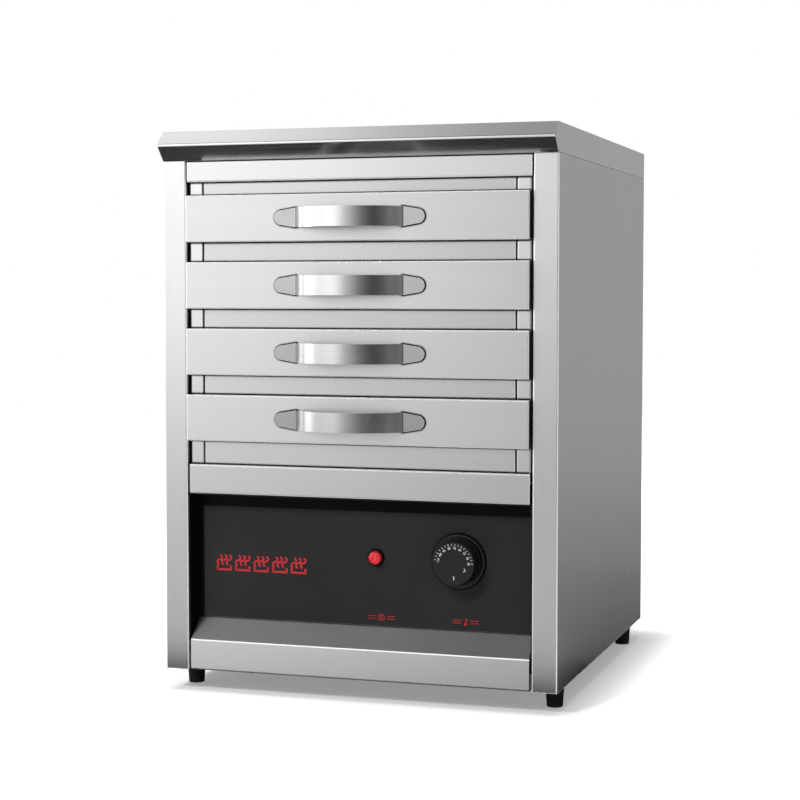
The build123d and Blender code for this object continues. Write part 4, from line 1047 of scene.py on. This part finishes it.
class STEAMER_OT_studio(bpy.types.Operator):
    """Set up the floor, the light tent, the lamps and the camera"""

    bl_idname = "steamer.studio"
    bl_label = "Studio"

    camera_place = (0.58573, -1.9012, 0.39741)
    camera_yaw = radians(17.829)   # to the left of straight ahead
    camera_pitch = radians(-3.321)
    aim = Vector((0, 0, 0.28))     # middle of the steamer
    # azimuth from the front, towards the user's right; height; distance; size
    key = (radians(-18.8), radians(35.0), 3.0, 0.6)
    top = (radians(-25.0), radians(78.0), 2.6, 2.2)

    # What the steel mirrors: (degrees from the front towards the right, level)
    tent_round = (
        (-180, 0.38), (-110, 0.5), (-92, 0.7), (-84, 2.6), (-74, 2.6), (-64, 1.5), (-27, 1.45),
        (-12, 0.86), (5, 0.42), (29, 0.1), (60, 0.2), (81, 0.36), (168, 0.38), (180, 0.38),
    )
    # ... and (sine of the height, level), in front of the steamer and behind it
    tent_rise = (
        (-1.0, 0.02), (-0.75, 0.04), (-0.53, 0.42), (-0.22, 0.5), (-0.09, 0.57), (0.07, 1.15),
        (0.3, 1.15), (0.6, 1.0), (1.0, 1.0),
    )
    rear_rise = (
        (-1.0, 0.1), (-0.5, 0.3), (-0.36, 0.36), (-0.32, 0.48), (-0.2, 0.58), (-0.08, 0.95),
        (0.07, 1.05), (0.5, 1.0), (1.0, 1.0),
    )
    # Dark floor close to the steamer's front, which the cap's lip mirrors: start, full, fade
    # and end along Y, and fade and end along X
    dark_floor = (-0.4, -0.34, 0.0, 0.08)
    dark_right = (0.24, 0.32)
    # Distances from the base at which the seen floor turns white
    shadow_reach = 0.1
    far_floor = (0.2, 1.2)

    def execute(self, context):
        studio = context.scene.steamer_studio
        self.make_world(studio)
        self.make_floor(studio)
        self.make_tent(studio)
        self.make_lamp("key_lamp", self.key, studio.key_watts)
        self.make_lamp("top_softbox", self.top, studio.top_watts)
        self.make_camera(studio)
        context.scene.view_settings.view_transform = "Standard"
        return {"FINISHED"}

    def make_world(self, studio):
        """White where it is seen or mirrored, and an even fill elsewhere."""
        world = bpy.data.worlds.new("studio_world")
        bpy.context.scene.world = world
        world.use_nodes = True
        tree = world.node_tree
        background = tree.nodes["Background"]
        background.inputs["Color"].default_value = (1, 1, 1, 1)
        seen = self.seen(tree)
        strength = tree.nodes.new("ShaderNodeMapRange")
        strength.inputs["To Min"].default_value = studio.fill
        strength.inputs["To Max"].default_value = 1.0
        tree.links.new(seen, strength.inputs["Value"])
        tree.links.new(strength.outputs["Result"], background.inputs["Strength"])

    def seen(self, tree):
        """1 for rays that see the background straight, in a mirror or through glass."""
        path = tree.nodes.new("ShaderNodeLightPath")
        total = path.outputs["Is Camera Ray"]
        for name in ("Is Glossy Ray", "Is Transmission Ray"):
            either = tree.nodes.new("ShaderNodeMath")
            either.operation = "MAXIMUM"
            tree.links.new(total, either.inputs[0])
            tree.links.new(path.outputs[name], either.inputs[1])
            total = either.outputs["Value"]
        return total

    def make_floor(self, studio):
        """Round pale floor, lifted to white where it is seen, that keeps the shadow."""
        shape = bmesh.new()
        bmesh.ops.create_circle(shape, cap_ends=True, segments=96, radius=studio.floor_radius)
        recipe = Recipe("studio_floor_paint")
        mottle = recipe.noise((3, 3, 3))
        recipe.set(
            colour=recipe.mix(mottle, (0.79, 0.79, 0.79), (0.81, 0.81, 0.81)),
            roughness=0.9,
            specular=0.0,
            glow=(1, 1, 1, 1),
        )
        low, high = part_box("base_pan")
        half = tuple((high[axis] - low[axis]) / 2 for axis in range(2))
        beyond = recipe.vector("SUBTRACT", recipe.vector("ABSOLUTE", recipe.place), (*half, 0))
        distance = recipe.vector("LENGTH", recipe.vector("MAXIMUM", beyond))
        near = recipe.span(distance, 0.0, self.shadow_reach, studio.floor_lift, 1.25, smooth=True)
        far = recipe.span(distance, *self.far_floor, 0.0, 0.15, smooth=True)
        lift = recipe.math("ADD", near, far)
        recipe.set(glow_strength=recipe.math("MULTIPLY", lift, self.seen(recipe.tree)))
        self.stage_piece("studio_floor", shape, recipe.material)

    def make_tent(self, studio):
        """Light tent that only mirrors show: bright at the left, darker at the right."""
        shape = bmesh.new()
        matrix = Matrix.Translation(self.aim)
        bmesh.ops.create_uvsphere(
            shape, u_segments=64, v_segments=32, radius=studio.tent_radius, matrix=matrix
        )
        for vertex in shape.verts:
            vertex.co.z = max(vertex.co.z, 1 * MM)
        bmesh.ops.reverse_faces(shape, faces=shape.faces)
        recipe = Recipe("light_tent_cloth")
        recipe.tree.nodes.remove(recipe.shader)
        offset = recipe.vector("SUBTRACT", recipe.place, tuple(self.aim))
        direction = recipe.vector("NORMALIZE", offset)
        x, y, z = (recipe.part_of(direction, axis) for axis in "XYZ")
        azimuth = recipe.math("ARCTAN2", x, recipe.math("MULTIPLY", y, -1.0))
        level = recipe.ramp(azimuth, [(radians(angle), value) for angle, value in self.tent_round])
        overhead = recipe.span(x, -0.18, -0.42, 0.42, 1.2, smooth=True)
        overhead = recipe.math("MULTIPLY", overhead, recipe.span(y, -0.12, 0.06, 0.1, 1.0))
        overhead = recipe.math("MULTIPLY", overhead, recipe.span(y, 0.15, 0.4, 1.0, 0.5))
        level = recipe.blend(recipe.span(z, 0.4, 0.8, smooth=True), level, overhead)
        near_floor = recipe.span(y, -0.2, 0.3, 1.12, 0.5)
        level = recipe.blend(recipe.span(z, -0.03, -0.26, smooth=True), level, near_floor)
        front, rear = recipe.ramp(z, self.tent_rise), recipe.ramp(z, self.rear_rise)
        rise = recipe.blend(recipe.span(y, -0.1, 0.4), front, rear)
        glow = recipe.math("MULTIPLY", level, rise)
        start, full, fade, end = self.dark_floor
        depth = recipe.part_of(recipe.place, "Y")
        starts, ends = recipe.span(depth, start, full), recipe.span(depth, end, fade)
        close = recipe.math("MULTIPLY", starts, ends)
        dark = recipe.math("MULTIPLY", close, recipe.span(z, -0.15, -0.3))
        across = recipe.span(recipe.part_of(recipe.place, "X"), *self.dark_right, 1.0, 0.0)
        dark = recipe.math("MULTIPLY", dark, across)
        glow = recipe.math("MULTIPLY", glow, recipe.span(dark, 0.0, 1.0, 1.0, 0.05))
        cloth = recipe.add("ShaderNodeEmission", {"Color": (1, 1, 1, 1), "Strength": glow})
        output = recipe.tree.nodes["Material Output"]
        recipe.tree.links.new(cloth.outputs["Emission"], output.inputs["Surface"])
        tent = self.stage_piece("light_tent", shape, recipe.material)
        for rays in ("camera", "diffuse", "transmission", "volume_scatter", "shadow"):
            setattr(tent, f"visible_{rays}", False)

    def stage_piece(self, name, shape, material):
        """Makes a bmesh a piece of the studio."""
        mesh = bpy.data.meshes.new(name)
        shape.to_mesh(mesh)
        shape.free()
        mesh.materials.append(material)
        piece = bpy.data.objects.new(name, mesh)
        bpy.context.collection.objects.link(piece)
        return piece

    def make_lamp(self, name, placing, watts):
        """Round lamp that lights paint and plastic; the tent stands for it in the steel."""
        azimuth, height, distance, size = placing
        level = cos(height) * distance
        offset = Vector((sin(azimuth) * level, -cos(azimuth) * level, sin(height) * distance))
        data = bpy.data.lights.new(name, "AREA")
        data.shape = "DISK"
        data.size = size
        data.energy = watts
        lamp = bpy.data.objects.new(name, data)
        bpy.context.collection.objects.link(lamp)
        lamp.location = self.aim + offset
        lamp.rotation_euler = (-offset).to_track_quat("-Z", "Y").to_euler()
        lamp.visible_glossy = False

    def make_camera(self, studio):
        """Camera at the photograph's angle."""
        data = bpy.data.cameras.new("photo_camera")
        data.lens = studio.lens
        data.sensor_width = 36.0
        data.clip_end = 100.0
        camera = bpy.data.objects.new("photo_camera", data)
        bpy.context.collection.objects.link(camera)
        camera.location = self.camera_place
        camera.rotation_euler = (pi / 2 + self.camera_pitch, 0, self.camera_yaw)
        bpy.context.scene.camera = camera


# ------------------------------------------------------------------ panel and registration


STEPS = (
    STEAMER_OT_casing,
    STEAMER_OT_front_frame,
    STEAMER_OT_drawers,
    STEAMER_OT_chamber,
    STEAMER_OT_heating,
    STEAMER_OT_controls,
    STEAMER_OT_outlets,
    STEAMER_OT_supports,
    STEAMER_OT_dial_scale,
    STEAMER_OT_panel_marks,
    STEAMER_OT_studio,
)


class STEAMER_PT_sidebar(bpy.types.Panel):
    """The steamer's settings and steps"""

    bl_idname = "STEAMER_PT_sidebar"
    bl_label = "Steamer"
    bl_space_type = "VIEW_3D"
    bl_region_type = "UI"
    bl_category = "Steamer"

    def draw(self, context):
        layout = self.layout
        for group in ("steamer_finish", "steamer_scale", "steamer_studio"):
            settings = getattr(context.scene, group)
            box = layout.box()
            for name in settings.__annotations__:
                box.prop(settings, name)
        for step in STEPS:
            layout.operator(step.bl_idname)


GROUPS = {
    "steamer_finish": SteamerFinish,
    "steamer_scale": SteamerScale,
    "steamer_studio": SteamerStudio,
}


def register():
    for name, group in GROUPS.items():
        bpy.utils.register_class(group)
        setattr(bpy.types.Scene, name, bpy.props.PointerProperty(type=group))
    for step in STEPS:
        bpy.utils.register_class(step)
    bpy.utils.register_class(STEAMER_PT_sidebar)


def unregister():
    bpy.utils.unregister_class(STEAMER_PT_sidebar)
    for step in reversed(STEPS):
        bpy.utils.unregister_class(step)
    for name, group in reversed(GROUPS.items()):
        delattr(bpy.types.Scene, name)
        bpy.utils.unregister_class(group)


def main():
    register()
    for step in STEPS:
        category, name = step.bl_idname.split(".")
        getattr(getattr(bpy.ops, category), name)()


if __name__ == "__main__":
    main()
